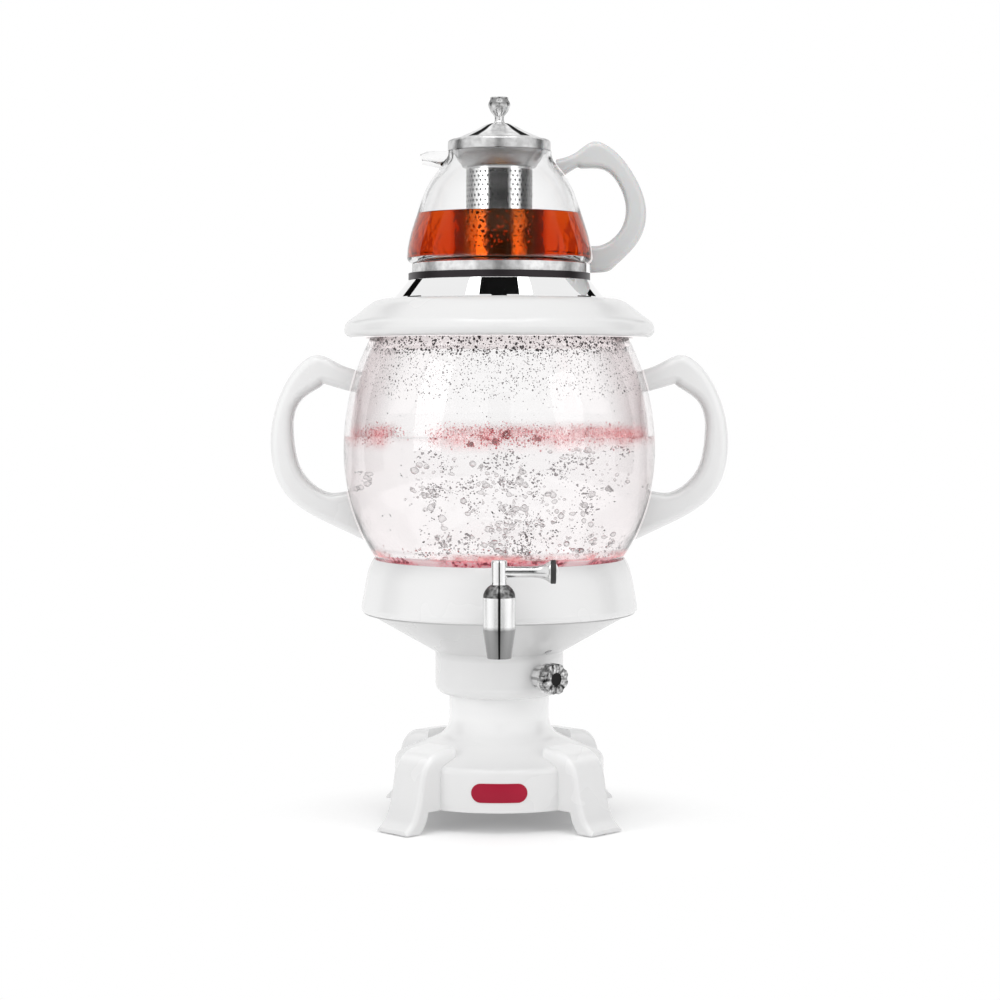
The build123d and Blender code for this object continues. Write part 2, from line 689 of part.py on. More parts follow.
with BuildPart() as globe_gasket:
    turn_profile(
        (GASKET_R, SHELF_TOP_Z + SHEET),
        (BAND_MOUTH_R - FIT, SHELF_TOP_Z + SHEET),
        (BAND_MOUTH_R - FIT, GASKET_LIP_Z),
        (globe_radius(GASKET_LIP_Z) + FIT, GASKET_LIP_Z),
        (globe_radius(GLOBE_BOTTOM_Z) + FIT, GLOBE_BOTTOM_Z),
        (globe_radius(GLOBE_BOTTOM_Z, GLASS_WALL) - FIT, GLOBE_BOTTOM_Z),
        (globe_radius(GASKET_COLLAR_Z, GLASS_WALL) - FIT, GASKET_COLLAR_Z),
        (globe_radius(GASKET_COLLAR_Z, GLASS_WALL) - FIT - GASKET_COLLAR_WALL, GASKET_COLLAR_Z),
    )
keep(globe_gasket, "globe_gasket")

with BuildPart() as handle_blank:
    with BuildSketch(Plane.XZ):
        with BuildLine():
            outer = Spline(*HANDLE_OUTER, tangents=((1, 0.25), (-1, -0.5)))
            inner = Spline(*HANDLE_INNER, tangents=((1, 0), (-1, -0.25)))
            Line(outer @ 1, inner @ 0)
            Line(inner @ 1, outer @ 0)
        make_face()
    extrude(amount=HANDLE_HALF_DEPTH, both=True)
    fillet(long_edges_at(HANDLE_HALF_DEPTH, BOND_BLOCK), HANDLE_ROUNDING)

with BuildPart() as handle_right:
    add(handle_blank.part)
    globe_body(-BOND, Mode.SUBTRACT)
keep(handle_right, "handle_right")

with BuildPart() as handle_left:
    mirror(handle_right.part, about=Plane.YZ)
keep(handle_left, "handle_left")

for level, (low, high) in (("lower", LOWER_BOND), ("upper", UPPER_BOND)):
    with BuildPart() as bond_right:
        with BuildSketch(Plane.XY.offset(low)):
            with Locations((GLOBE_R, 0)):
                Rectangle(BOND_BLOCK, 4 * HANDLE_HALF_DEPTH)
        extrude(amount=high - low)
        add(handle_blank.part, mode=Mode.INTERSECT)
        globe_body(-BOND, Mode.INTERSECT)
        globe_body(0, Mode.SUBTRACT)
    keep(bond_right, f"handle_bond_right_{level}")
    with BuildPart() as bond_left:
        mirror(bond_right.part, about=Plane.YZ)
    keep(bond_left, f"handle_bond_left_{level}")

# ---- lid ----------------------------------------------------------------------------------------

seal_top = GLOBE_TOP_Z + SEAL_HEIGHT
with BuildPart() as lid_brim:
    with BuildSketch(Plane.XZ):
        with BuildLine():
            crown = Line((LID_OPENING_R, LID_TOP_Z), (LID_FLAT_R, LID_TOP_Z))
            slope = Spline(crown @ 1, *LID_SHOULDER, tangents=((1, 0), (0.02, -1)))
            under = Spline(slope @ 1, (LID_LIP_R, LID_BOTTOM_Z), tangents=((0, -1), (-1, 0)))
            Polyline(
                under @ 1,
                (LID_SKIRT_R, LID_BOTTOM_Z),
                (LID_SKIRT_R, seal_top),
                (LID_PLUG_R, seal_top),
                (LID_PLUG_R, LID_PLUG_BOTTOM_Z),
                (LID_PLUG_R - LID_PLUG_WALL, LID_PLUG_BOTTOM_Z),
                (LID_PLUG_R - LID_PLUG_WALL, LID_TOP_Z - LID_WALL),
                (LID_OPENING_R, LID_TOP_Z - LID_WALL),
                crown @ 0,
            )
        make_face()
    revolve(axis=Axis.Z)
keep(lid_brim, "lid_brim")

with BuildPart() as lid_seal:
    turn_profile(
        (LID_PLUG_R + FIT, GLOBE_TOP_Z),
        (LID_SKIRT_R - LID_PLUG_WALL, GLOBE_TOP_Z),
        (LID_SKIRT_R - LID_PLUG_WALL, seal_top),
        (LID_PLUG_R + FIT, seal_top),
    )
keep(lid_seal, "lid_seal")

with BuildPart() as teapot_stand:
    turn_profile(
        (STAND_FOOT_R, LID_TOP_Z),
        (STAND_BASE_R, LID_TOP_Z),
        (STAND_BASE_R, LID_TOP_Z + STAND_SHEET),
        (STAND_BASE_R - STAND_HEM, LID_TOP_Z + STAND_SHEET),
        (STAND_SHOULDER_R, STAND_FLOOR_Z - STAND_SHEET),
        (STAND_RIM_R, STAND_FLOOR_Z),
        (STAND_RIM_R, STAND_RIM_Z),
        (STAND_RIM_R - STAND_SHEET, STAND_RIM_Z),
        (STAND_RIM_R - STAND_SHEET, STAND_FLOOR_Z),
        (STEAM_HOLE_R, STAND_FLOOR_Z),
        (STEAM_HOLE_R, STAND_FLOOR_Z - STAND_SHEET),
        (STAND_RIM_R - STAND_SHEET, STAND_FLOOR_Z - STAND_SHEET),
        (STAND_BASE_R - STAND_HEM - 2 * STAND_SHEET, LID_TOP_Z + STAND_SHEET),
        (STAND_FOOT_R, LID_TOP_Z + STAND_SHEET),
    )
keep(teapot_stand, "teapot_stand")

# ---- teapot -------------------------------------------------------------------------------------

with BuildPart() as teapot_cup:
    turn_profile(
        (0, STAND_FLOOR_Z),
        (CUP_R, STAND_FLOOR_Z),
        (CUP_R, CUP_TOP_Z),
        (CUP_R - SHEET, CUP_TOP_Z),
        (CUP_R - SHEET, STAND_FLOOR_Z + SHEET),
        (0, STAND_FLOOR_Z + SHEET),
        corners=[
            ((CUP_R, STAND_FLOOR_Z), CUP_ROUNDING),
            ((CUP_R - SHEET, STAND_FLOOR_Z + SHEET), CUP_ROUNDING - SHEET),
        ],
    )
keep(teapot_cup, "teapot_cup")

with BuildPart() as spout_trough:
    with BuildSketch(spout_plane(TROUGH_ROOT)):
        Circle(TROUGH_ROOT_R)
    with BuildSketch(spout_plane(TROUGH_TIP)):
        Circle(TROUGH_TIP_R)
    loft()

with BuildPart() as teapot_glass:
    teapot_body(0, Mode.ADD)
    with BuildSketch(spout_plane(SPOUT_ROOT)):
        Circle(SPOUT_ROOT_R)
    with BuildSketch(spout_plane(SPOUT_TIP)):
        Circle(SPOUT_TIP_R)
    loft()
    with BuildSketch(Plane.XY.offset(MOUTH_Z)):
        Circle(TEAPOT_R)
    extrude(amount=2 * SPOUT_ROOT_R, mode=Mode.SUBTRACT)
    teapot_body(-TEAPOT_WALL, Mode.SUBTRACT)
    add(spout_trough.part, mode=Mode.SUBTRACT)
keep(teapot_glass, "teapot_glass")

with BuildPart() as teapot_handle_blank:
    with BuildSketch(Plane.XZ):
        with BuildLine():
            outer = Spline(*TEAPOT_HANDLE_OUTER, tangents=((1, 0.2), (-1, 0)))
            inner = Spline(*TEAPOT_HANDLE_INNER, tangents=((1, 0), (-1, -0.7)))
            Line(outer @ 1, inner @ 0)
            Line(inner @ 1, outer @ 0)
        make_face()
    extrude(amount=TEAPOT_HANDLE_HALF_DEPTH, both=True)
    fillet(long_edges_at(TEAPOT_HANDLE_HALF_DEPTH, BOND_BLOCK), TEAPOT_HANDLE_ROUNDING)

with BuildPart() as teapot_handle:
    add(teapot_handle_blank.part)
    teapot_body(BOND, Mode.SUBTRACT)
    with BuildSketch(Plane.XY.offset(STAND_FLOOR_Z)):
        Circle(STAND_RIM_R + STAND_SHEET)
    extrude(amount=CUP_TOP_Z + LOOSE_FIT - STAND_FLOOR_Z, mode=Mode.SUBTRACT)
keep(teapot_handle, "teapot_handle")

for level, (low, high) in (("lower", LOWER_TEAPOT_BOND), ("upper", UPPER_TEAPOT_BOND)):
    with BuildPart() as teapot_bond:
        with BuildSketch(Plane.XY.offset(low)):
            with Locations((TEAPOT_FOOT_R, 0)):
                Rectangle(TEAPOT_BOND_BLOCK, 4 * TEAPOT_HANDLE_HALF_DEPTH)
        extrude(amount=high - low)
        add(teapot_handle_blank.part, mode=Mode.INTERSECT)
        teapot_body(BOND, Mode.INTERSECT)
        teapot_body(0, Mode.SUBTRACT)
    keep(teapot_bond, f"teapot_bond_{level}")

with BuildPart() as infuser_basket:
    turn_profile(
        (0, BASKET_BOTTOM_Z),
        (BASKET_R, BASKET_BOTTOM_Z),
        (BASKET_R, FUNNEL_BOTTOM_Z - BASKET_SHEET),
        (FUNNEL_FOOT_R, FUNNEL_BOTTOM_Z),
        (FUNNEL_R, FUNNEL_TOP_Z),
        (FLANGE_BEND_R, MOUTH_Z),
        (FLANGE_R, MOUTH_Z),
        (FLANGE_R, MOUTH_Z + BASKET_SHEET),
        (FLANGE_BEND_R - BASKET_SHEET, MOUTH_Z + BASKET_SHEET),
        (FUNNEL_R - BASKET_SHEET, FUNNEL_TOP_Z + BASKET_SHEET / 2),
        (FUNNEL_FOOT_R - BASKET_SHEET, FUNNEL_BOTTOM_Z + BASKET_SHEET),
        (BASKET_R - BASKET_SHEET, FUNNEL_BOTTOM_Z),
        (BASKET_R - BASKET_SHEET, BASKET_BOTTOM_Z + BASKET_SHEET),
        (0, BASKET_BOTTOM_Z + BASKET_SHEET),
    )
keep(infuser_basket, "infuser_basket")

lid_seat_z = MOUTH_Z + BASKET_SHEET
with BuildPart() as teapot_lid:
    with BuildSketch(Plane.XZ):
        with BuildLine():
            edge = Polyline(
                (FLANGE_R - LID_BEAD_DROP, lid_seat_z),
                (TEAPOT_LID_R, lid_seat_z),
                (TEAPOT_LID_R, TEAPOT_LID_EDGE_Z - LID_BEAD_DROP),
            )
            bead = TangentArc(edge @ 1, (TEAPOT_LID_R - LID_BEAD, TEAPOT_LID_EDGE_Z), tangent=(0, 1))
            roof = Spline(
                bead @ 1, ROOF_FOOT, ROOF_BEND, (FINIAL_R, FINIAL_BASE_Z), tangents=((-1, 0.1), (-1, 0.3))
            )
            Polyline(
                roof @ 1,
                (FINIAL_HOLE_R, FINIAL_BASE_Z),
                (FINIAL_HOLE_R, FINIAL_BASE_Z - FINIAL_SCREW_HEAD),
                (FINIAL_R, FINIAL_BASE_Z - FINIAL_SCREW_HEAD),
                (ROOF_BEND[0], ROOF_BEND[1] - FINIAL_SCREW_HEAD),
                (TEAPOT_LID_R - LID_BEAD, TEAPOT_LID_EDGE_Z - TEAPOT_LID_SHEET),
                (TEAPOT_LID_R - LID_BEAD - LID_BEAD_DROP, TEAPOT_LID_EDGE_Z - LID_BEAD_DROP),
                (RECESS_R, lid_seat_z),
                (COLLAR_R - SHEET, lid_seat_z - COLLAR_DEPTH),
                (COLLAR_R, lid_seat_z - COLLAR_DEPTH),
                (RECESS_R + SHEET, lid_seat_z),
                edge @ 0,
            )
        make_face()
    revolve(axis=Axis.Z)
keep(teapot_lid, "teapot_lid")

with BuildPart() as lid_finial:
    with BuildSketch(Plane.XZ):
        with BuildLine():
            base = Line((FINIAL_THREAD_R, FINIAL_BASE_Z), (FINIAL_FOOT_R, FINIAL_BASE_Z))
            flare = ThreePointArc(
                base @ 1, FINIAL_FLARE, (FINIAL_NECK_R, FINIAL_BASE_Z + FINIAL_FLARE_HEIGHT)
            )
            head = Spline(flare @ 1, *FINIAL_HEAD, tangents=((0, 1), (-1, 0)))
            Polyline(
                head @ 1,
                (0, FINIAL_BASE_Z + FINIAL_THREAD_DEPTH),
                (FINIAL_THREAD_R, FINIAL_BASE_Z + FINIAL_THREAD_DEPTH),
                base @ 0,
            )
        make_face()
    revolve(axis=Axis.Z)
keep(lid_finial, "lid_finial")

with BuildPart() as finial_screw:
    with Locations((0, 0, FINIAL_BASE_Z - FINIAL_SCREW_HEAD)):
        Cylinder(
            FINIAL_SCREW_R,
            FINIAL_SCREW_HEAD + FINIAL_THREAD_DEPTH - SHEET,
            align=(Align.CENTER, Align.CENTER, Align.MIN),
        )
        Cylinder(FINIAL_SCREW_HEAD_R, FINIAL_SCREW_HEAD, align=(Align.CENTER, Align.CENTER, Align.MAX))
keep(finial_screw, "finial_screw")

# ---- tap ----------------------------------------------------------------------------------------

tap_axis = Axis((0, TAP_Y, 0), (0, 0, 1))
tap_half_plane = Plane(origin=(0, TAP_Y, 0), x_dir=(1, 0, 0), z_dir=(0, -1, 0))

with BuildPart() as tap_body:
    with BuildSketch(tap_half_plane):
        with BuildLine():
            Polyline(
                (0, BARREL_TOP_Z),
                (BARREL_R, BARREL_TOP_Z),
                (BARREL_R - BARREL_TAPER, BARREL_WAIST_Z),
                (SPOUT_R, SPOUT_BOTTOM_Z),
                (0, SPOUT_BOTTOM_Z),
                close=True,
            )
        make_face()
    revolve(axis=tap_axis)
    with BuildSketch(outward_plane(0, -TAP_Y, SHANK_Z)):
        Circle(SHANK_R)
    extrude(amount=-SHANK_LENGTH)
    with BuildSketch(outward_plane(0, -TAP_FACE_Y + WASHER_THICKNESS, SHANK_Z)):
        Circle(TAP_FLANGE_R)
    extrude(amount=TAP_FLANGE_THICKNESS)
    with BuildSketch(tap_half_plane):
        with BuildLine():
            Polyline(
                (0, BARREL_TOP_Z),
                (PLUG_R, BARREL_TOP_Z),
                (PLUG_R, SEAT_Z),
                (WATERWAY_R, SEAT_Z),
                (WATERWAY_R, SEAT_Z - BORE_NECK),
                (OUTLET_R, SEAT_Z - BORE_FLARE),
                (OUTLET_R, SPOUT_BOTTOM_Z),
                (0, SPOUT_BOTTOM_Z),
                close=True,
            )
        make_face()
    revolve(axis=tap_axis, mode=Mode.SUBTRACT)
    with BuildSketch(outward_plane(0, -TAP_Y, SHANK_Z)):
        Circle(WATERWAY_R)
    extrude(amount=-SHANK_LENGTH, mode=Mode.SUBTRACT)
keep(tap_body, "tap_body")

with BuildPart() as tap_washer:
    with BuildSketch(outward_plane(0, -TAP_FACE_Y, SHANK_Z)):
        Circle(TAP_FLANGE_R)
        Circle(SHANK_R + FIT, mode=Mode.SUBTRACT)
    extrude(amount=WASHER_THICKNESS)
keep(tap_washer, "tap_washer")

with BuildPart() as tap_gasket:
    with BuildSketch(outward_plane(0, PAN_R - GASKET_INSIDE, SHANK_Z)):
        Circle(TAP_FLANGE_R)
    extrude(amount=2 * GASKET_INSIDE)
    with BuildSketch(Plane.XY.offset(PAN_BOTTOM_Z)):
        Circle(PAN_R - SHEET)
    extrude(amount=SHELF_TOP_Z - PAN_BOTTOM_Z, mode=Mode.INTERSECT)
    with BuildSketch(outward_plane(0, PAN_R, SHANK_Z)):
        Circle(SHANK_R + FIT)
    extrude(amount=-2 * GASKET_INSIDE, mode=Mode.SUBTRACT)
keep(tap_gasket, "tap_gasket")

with BuildPart() as tap_nut:
    with BuildSketch(outward_plane(0, PAN_R - GASKET_INSIDE, SHANK_Z)):
        RegularPolygon(TAP_FLANGE_R, 6)
        Circle(SHANK_R + NUT_FIT, mode=Mode.SUBTRACT)
    extrude(amount=-NUT_HEIGHT)
keep(tap_nut, "tap_nut")

with BuildPart() as tap_bonnet:
    with BuildSketch(tap_half_plane):
        with BuildLine():
            side = Line((BONNET_R, BARREL_TOP_Z), (BONNET_R, BARREL_TOP_Z + BONNET_EDGE))
            cap = ThreePointArc(side @ 1, BONNET_SHOULDER, (HUB_FOOT_R, BONNET_TOP_Z))
            Polyline(
                cap @ 1,
                (SPINDLE_R + PLUG_CLEARANCE, BONNET_TOP_Z),
                (SPINDLE_R + PLUG_CLEARANCE, BARREL_TOP_Z),
                side @ 0,
            )
        make_face()
    revolve(axis=tap_axis)
keep(tap_bonnet, "tap_bonnet")

with BuildPart() as tap_plug:
    with BuildSketch(tap_half_plane):
        with BuildLine():
            Polyline(
                (0, SEAT_Z),
                (PLUG_R - PLUG_CLEARANCE, SEAT_Z),
                (PLUG_R - PLUG_CLEARANCE, BARREL_TOP_Z - PLUG_CLEARANCE),
                (SPINDLE_R, BARREL_TOP_Z - PLUG_CLEARANCE),
                (SPINDLE_R, HUB_TOP_Z - HUB_CROWN),
                (0, HUB_TOP_Z - HUB_CROWN),
                close=True,
            )
        make_face()
    revolve(axis=tap_axis)
    with BuildSketch(Plane.XY.offset(SEAT_Z)):
        with Locations((0, TAP_Y)):
            Circle(PLUG_PORT_R)
    extrude(amount=SHANK_Z - SEAT_Z, mode=Mode.SUBTRACT)
    with BuildSketch(Plane(origin=(0, TAP_Y, SHANK_Z), z_dir=(-1, 0, 0))):
        Circle(PLUG_PORT_R)
    extrude(amount=PLUG_R, mode=Mode.SUBTRACT)
keep(tap_plug, "tap_plug")

with BuildPart() as tap_lever:
    with BuildSketch(tap_half_plane):
        with BuildLine():
            Polyline(
                (0, BONNET_TOP_Z + LOOSE_FIT),
                (HUB_FOOT_R, BONNET_TOP_Z + LOOSE_FIT),
                (HUB_R, BONNET_TOP_Z + LOOSE_FIT + HUB_FOOT),
                (HUB_R, HUB_TOP_Z),
                (0, HUB_TOP_Z),
                close=True,
            )
        make_face()
        fillet(vertices().sort_by_distance((HUB_R, HUB_TOP_Z))[0], HUB_ROUNDING)
    revolve(axis=tap_axis)
    with BuildSketch(Plane(origin=(0, TAP_Y, LEVER_Z), x_dir=(1, 0, 0), z_dir=(0, -1, 0))):
        with BuildLine():
            rod = Line((0, LEVER_R), (LEVER_REACH - BELL_LENGTH, LEVER_R))
            bell = Spline(rod @ 1, (LEVER_REACH - BELL_HEM, BELL_MOUTH_R), tangents=((1, 0), (1, 0.9)))
            Polyline(bell @ 1, (LEVER_REACH, BELL_MOUTH_R), (LEVER_REACH, 0), (0, 0), rod @ 0)
        make_face()
    revolve(axis=Axis((0, TAP_Y, LEVER_Z), (1, 0, 0)))
    with BuildSketch(Plane.XY.offset(BONNET_TOP_Z)):
        with Locations((0, TAP_Y)):
            Circle(SPINDLE_R + TIGHT_FIT)
    extrude(amount=HUB_TOP_Z - HUB_CROWN - BONNET_TOP_Z, mode=Mode.SUBTRACT)
keep(tap_lever, "tap_lever")

with BuildPart() as lever_end:
    with BuildSketch(Plane(origin=(0, TAP_Y, LEVER_Z), x_dir=(1, 0, 0), z_dir=(0, -1, 0))):
        with BuildLine():
            disc = Polyline((LEVER_REACH, 0), (LEVER_REACH, BELL_R), (LEVER_REACH + BELL_DISC, BELL_R))
            dome = Spline(disc @ 1, (BELL_END, 0), tangents=((0.6, -1), (0, -1)))
            Line(dome @ 1, disc @ 0)
        make_face()
    revolve(axis=Axis((0, TAP_Y, LEVER_Z), (1, 0, 0)))
keep(lever_end, "lever_end")

# ---- thermostat knob ----------------------------------------------------------------------------

with BuildPart() as thermostat_shaft:
    with BuildSketch(outward_plane(KNOB_ANGLE, THERMOSTAT_FACE - SHAFT_BITE, KNOB_Z)):
        Circle(SHAFT_R)
    extrude(amount=KNOB_FACE - KNOB_SOCKET_END - (THERMOSTAT_FACE - SHAFT_BITE))
keep(thermostat_shaft, "thermostat_shaft")

with BuildPart() as thermostat_knob:
    with BuildSketch(outward_plane(KNOB_ANGLE, NECK_R + KNOB_GAP, KNOB_Z)):
        Circle(KNOB_COLLAR_R)
    extrude(amount=KNOB_COLLAR_END - KNOB_GAP)
    with BuildSketch(outward_plane(KNOB_ANGLE, NECK_R + KNOB_COLLAR_END, KNOB_Z)):
        Circle(KNOB_R)
        with PolarLocations(FLUTE_CIRCLE_R, KNOB_FLUTES):
            Circle(FLUTE_R, mode=Mode.SUBTRACT)
    extrude(amount=KNOB_FACE - NECK_R - KNOB_COLLAR_END)
    with BuildSketch(outward_plane(KNOB_ANGLE, KNOB_FACE, KNOB_Z)):
        Circle(CAP_R + PLUG_CLEARANCE)
    extrude(amount=-CAP_RECESS, mode=Mode.SUBTRACT)
    with BuildSketch(outward_plane(KNOB_ANGLE, NECK_R, KNOB_Z)):
        Circle(SHAFT_R + TIGHT_FIT)
    extrude(amount=KNOB_FACE - KNOB_SOCKET_END - NECK_R, mode=Mode.SUBTRACT)
keep(thermostat_knob, "thermostat_knob")

with BuildPart() as knob_cap:
    with BuildSketch(outward_plane(KNOB_ANGLE, KNOB_FACE - CAP_RECESS, KNOB_Z)):
        Circle(CAP_R)
    extrude(amount=CAP_HEIGHT)
keep(knob_cap, "knob_cap")
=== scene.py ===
"""Looks of the electric glass samovar: finishes, water, tea, badge, floor, light and camera.

The scene is in metres, in the samovar's own frame: +Z up, the tap towards -Y, the origin on the
table. Sizes, levels and places on the samovar are written in millimetres and turned by MM.
"""

import json
from math import cos, pi, radians, sin, sqrt

import bpy
import numpy as np
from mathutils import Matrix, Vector


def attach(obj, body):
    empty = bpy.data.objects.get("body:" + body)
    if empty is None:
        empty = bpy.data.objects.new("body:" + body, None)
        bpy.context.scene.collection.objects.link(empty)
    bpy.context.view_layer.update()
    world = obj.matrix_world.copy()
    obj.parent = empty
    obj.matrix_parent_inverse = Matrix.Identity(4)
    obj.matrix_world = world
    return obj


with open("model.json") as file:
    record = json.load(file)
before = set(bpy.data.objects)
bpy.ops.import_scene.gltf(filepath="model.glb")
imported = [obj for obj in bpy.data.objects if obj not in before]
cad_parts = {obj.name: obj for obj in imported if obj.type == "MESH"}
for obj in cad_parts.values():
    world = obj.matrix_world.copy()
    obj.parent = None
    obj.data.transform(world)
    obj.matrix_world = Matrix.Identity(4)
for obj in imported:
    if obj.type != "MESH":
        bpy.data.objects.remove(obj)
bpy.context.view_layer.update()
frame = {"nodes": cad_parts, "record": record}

nodes = frame["nodes"]
MM = 0.001

# levels, radii and places on the samovar, in millimetres
PAN_FLOOR_Z, PAN_WALL_R = 143.8, 75.7
SEAL_Z = 190.5
WATER_Z = 271.5
STEAM_TOP_Z = 343
TEA_Z = 427.5
SKIRT_R = 74.5
TAP_Y = -121
LEVER_Z = 184.6
KNOB_FACE, KNOB_TIP = (39.5, -49.7, 103.9), (90, 38.5)  # the tip in degrees

# ways round the samovar
FRONT = -pi / 2
BACKWARDS = Vector((0.1, 0.995, 0))
UPWARDS = np.array((0.0, 0.0, 1.0))

# how strongly glass, water, foam and the air in bubbles bend light
GLASS_INDEX, WATER_INDEX, FOAM_INDEX, BUBBLE_INDEX = 1.45, 1.33, 1.2, 1.12


# ---- bench: small helpers ------------------------------------------------------------------------


def put_all_down():
    """Deselects everything, so that the next tool touches only the piece in hand."""
    if bpy.context.object and bpy.context.object.mode != "OBJECT":
        bpy.ops.object.mode_set(mode="OBJECT")
    bpy.ops.object.select_all(action="DESELECT")


def take(piece):
    """Makes one piece the piece in hand."""
    put_all_down()
    piece.select_set(True)
    bpy.context.view_layer.objects.active = piece


def settle(piece, name, finish_used, body, smooth=40):
    """Names a finished piece, puts its place in its mesh and lets it ride on a body."""
    take(piece)
    bpy.ops.object.transform_apply(location=True, rotation=True, scale=True)
    bpy.ops.object.shade_smooth_by_angle(angle=radians(smooth))
    piece.name = name
    piece.data.name = name
    piece.data.materials.append(finish_used)
    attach(piece, body)


def close_up():
    """Turns every face of the piece in hand outwards and ends the work on its mesh."""
    bpy.ops.mesh.select_all(action="SELECT")
    bpy.ops.mesh.normals_make_consistent(inside=False)
    bpy.ops.object.mode_set(mode="OBJECT")


def turned(rings, sides=128, capped=True):
    """Turns a form from (radius, height) rings in millimetres, from the first ring to the last."""
    put_all_down()
    radius, height = rings[0]
    bpy.ops.mesh.primitive_circle_add(
        vertices=sides, radius=radius * MM, location=(0, 0, height * MM)
    )
    bpy.ops.object.mode_set(mode="EDIT")
    bpy.ops.mesh.select_mode(type="VERT")
    bpy.ops.mesh.select_all(action="SELECT")
    if capped:
        bpy.ops.mesh.edge_face_add()
    for next_radius, next_height in rings[1:]:
        rise = {"value": (0, 0, (next_height - height) * MM)}
        bpy.ops.mesh.extrude_edges_move(TRANSFORM_OT_translate=rise)
        grow = next_radius / radius
        bpy.ops.transform.resize(
            value=(grow, grow, 1), center_override=(0, 0, next_height * MM)
        )
        radius, height = next_radius, next_height
    if capped:
        bpy.ops.mesh.edge_face_add()
    close_up()
    return bpy.context.object


def closed_ring(rings):
    """Turns a solid ring from the (radius, height) corners of its section, in millimetres."""
    ring = turned(rings, capped=False)
    take(ring)
    bpy.ops.object.mode_set(mode="EDIT")
    bpy.ops.mesh.select_all(action="SELECT")
    bpy.ops.mesh.select_mode(type="EDGE")
    bpy.ops.mesh.select_all(action="DESELECT")
    bpy.ops.mesh.select_non_manifold()
    bpy.ops.mesh.bridge_edge_loops()
    close_up()
    return ring


def thicken(piece, wall):
    """Gives an open sheet a wall, in millimetres, towards its inner side."""
    take(piece)
    bpy.ops.object.modifier_add(type="SOLIDIFY")
    piece.modifiers[-1].thickness = wall * MM
    bpy.ops.object.modifier_apply(modifier=piece.modifiers[-1].name)


def inner_wall(node, height):
    """The inner radius of a hollow round node at a height, measured towards the back."""
    hit, place, _, _ = nodes[node].ray_cast(Vector((0, 0, height * MM)), BACKWARDS)
    assert hit, f"{node} has no wall at {height}"
    return Vector(place[:2]).length / MM


def copies(pattern, name, places, finish_used):
    """Joins copies of one modelled pattern, each (centre, size, squash direction, squash)."""
    shape = np.empty(len(pattern.data.vertices) * 3)
    pattern.data.vertices.foreach_get("co", shape)
    shape = shape.reshape(-1, 3)
    faces = [tuple(face.vertices) for face in pattern.data.polygons]
    points, polygons = [], []
    for number, (centre, size, direction, flat) in enumerate(places):
        along = shape @ direction
        points.append(centre + size * (shape - np.outer(along * (1 - flat), direction)))
        first = number * len(shape)
        polygons += [tuple(first + corner for corner in face) for face in faces]
    mesh = bpy.data.meshes.new(name)
    mesh.from_pydata(np.vstack(points).tolist(), [], polygons)
    mesh.polygons.foreach_set("use_smooth", [True] * len(mesh.polygons))
    mesh.materials.append(finish_used)
    piece = bpy.data.objects.new(name, mesh)
    bpy.context.scene.collection.objects.link(piece)
    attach(piece, "body")


# ---- steps that the finishes are built from ------------------------------------------------------


def feed(tree, socket, value):
    """Sets a socket to a value, or links it where the value is another step's output."""
    if isinstance(value, bpy.types.NodeSocket):
        tree.links.new(value, socket)
    else:
        socket.default_value = value


def step(tree, kind, sockets, **settings):
    """Adds a step of one kind with its settings, and feeds its sockets."""
    made = tree.nodes.new("ShaderNode" + kind)
    for label, value in settings.items():
        setattr(made, label, value)
    for label, value in sockets.items():
        feed(tree, made.inputs[label], value)
    return made


def point_of(tree):
    """Where the point that is being shaded lies on the samovar."""
    return step(tree, "TexCoord", {}).outputs["Object"]


def split_up(tree, vector=None):
    """The three coordinates of a vector, or else of the shaded point."""
    vector = point_of(tree) if vector is None else vector
    parts = step(tree, "SeparateXYZ", {"Vector": vector}).outputs
    return [parts[axis] for axis in "XYZ"]


def reckon(tree, operation, *values):
    """The result of one sum on numbers and outputs."""
    return step(tree, "Math", dict(enumerate(values)), operation=operation).outputs["Value"]


def noise(tree, scale, detail=2, vector=None, roughness=0.5):
    """Cloudy noise over the samovar, or else over a vector."""
    vector = point_of(tree) if vector is None else vector
    sockets = {"Vector": vector, "Scale": scale, "Detail": detail, "Roughness": roughness}
    return step(tree, "TexNoise", sockets).outputs["Fac"]


def tuned(tree, value, low=0.0, high=1.0, first=0.0, last=1.0, way="LINEAR"):
    """Spreads a value between two limits over a range, 0 to 1 if none is given."""
    sockets = {"Value": value, "From Min": low, "From Max": high, "To Min": first, "To Max": last}
    return step(tree, "MapRange", sockets, interpolation_type=way).outputs["Result"]


def levelled(tree, height, rise):
    """Spreads a height over 0 to 1 between two levels in millimetres."""
    return tuned(tree, height, rise[0] * MM, rise[1] * MM)


def blend(tree, kind, first, second, factor=1.0):
    """Mixes two colours by one kind of blend."""
    sockets = {"Factor": factor, "A": first, "B": second}
    return step(tree, "Mix", sockets, data_type="RGBA", blend_type=kind).outputs["Result"]


def tint_of(tint):
    """A full colour from a grey or from red, green and blue."""
    return (*tint, 1) if isinstance(tint, tuple) else (tint, tint, tint, 1)


def ramp_on(tree, value, stops):
    """A ramp over a value from 0 to 1, from (place, grey or colour) stops."""
    ramp = step(tree, "ValToRGB", {"Fac": value})
    marks = ramp.color_ramp.elements
    while len(marks) < len(stops):
        marks.new(0.5)
    for mark, (spot, tint) in zip(marks, stops):
        mark.position, mark.color = spot, tint_of(tint)
    return ramp.outputs["Color"]


def bumped(tree, height, strength, distance):
    """A surface direction that follows a height, with its full depth in metres."""
    sockets = {"Strength": strength, "Distance": distance, "Height": height}
    return step(tree, "Bump", sockets).outputs["Normal"]


def facing(tree, slant):
    """How far a surface turns away from the eye."""
    return step(tree, "LayerWeight", {"Blend": slant}).outputs["Facing"]


def skin_of(material):
    """The sockets of a finish's surface."""
    return material.node_tree.nodes["Principled BSDF"].inputs


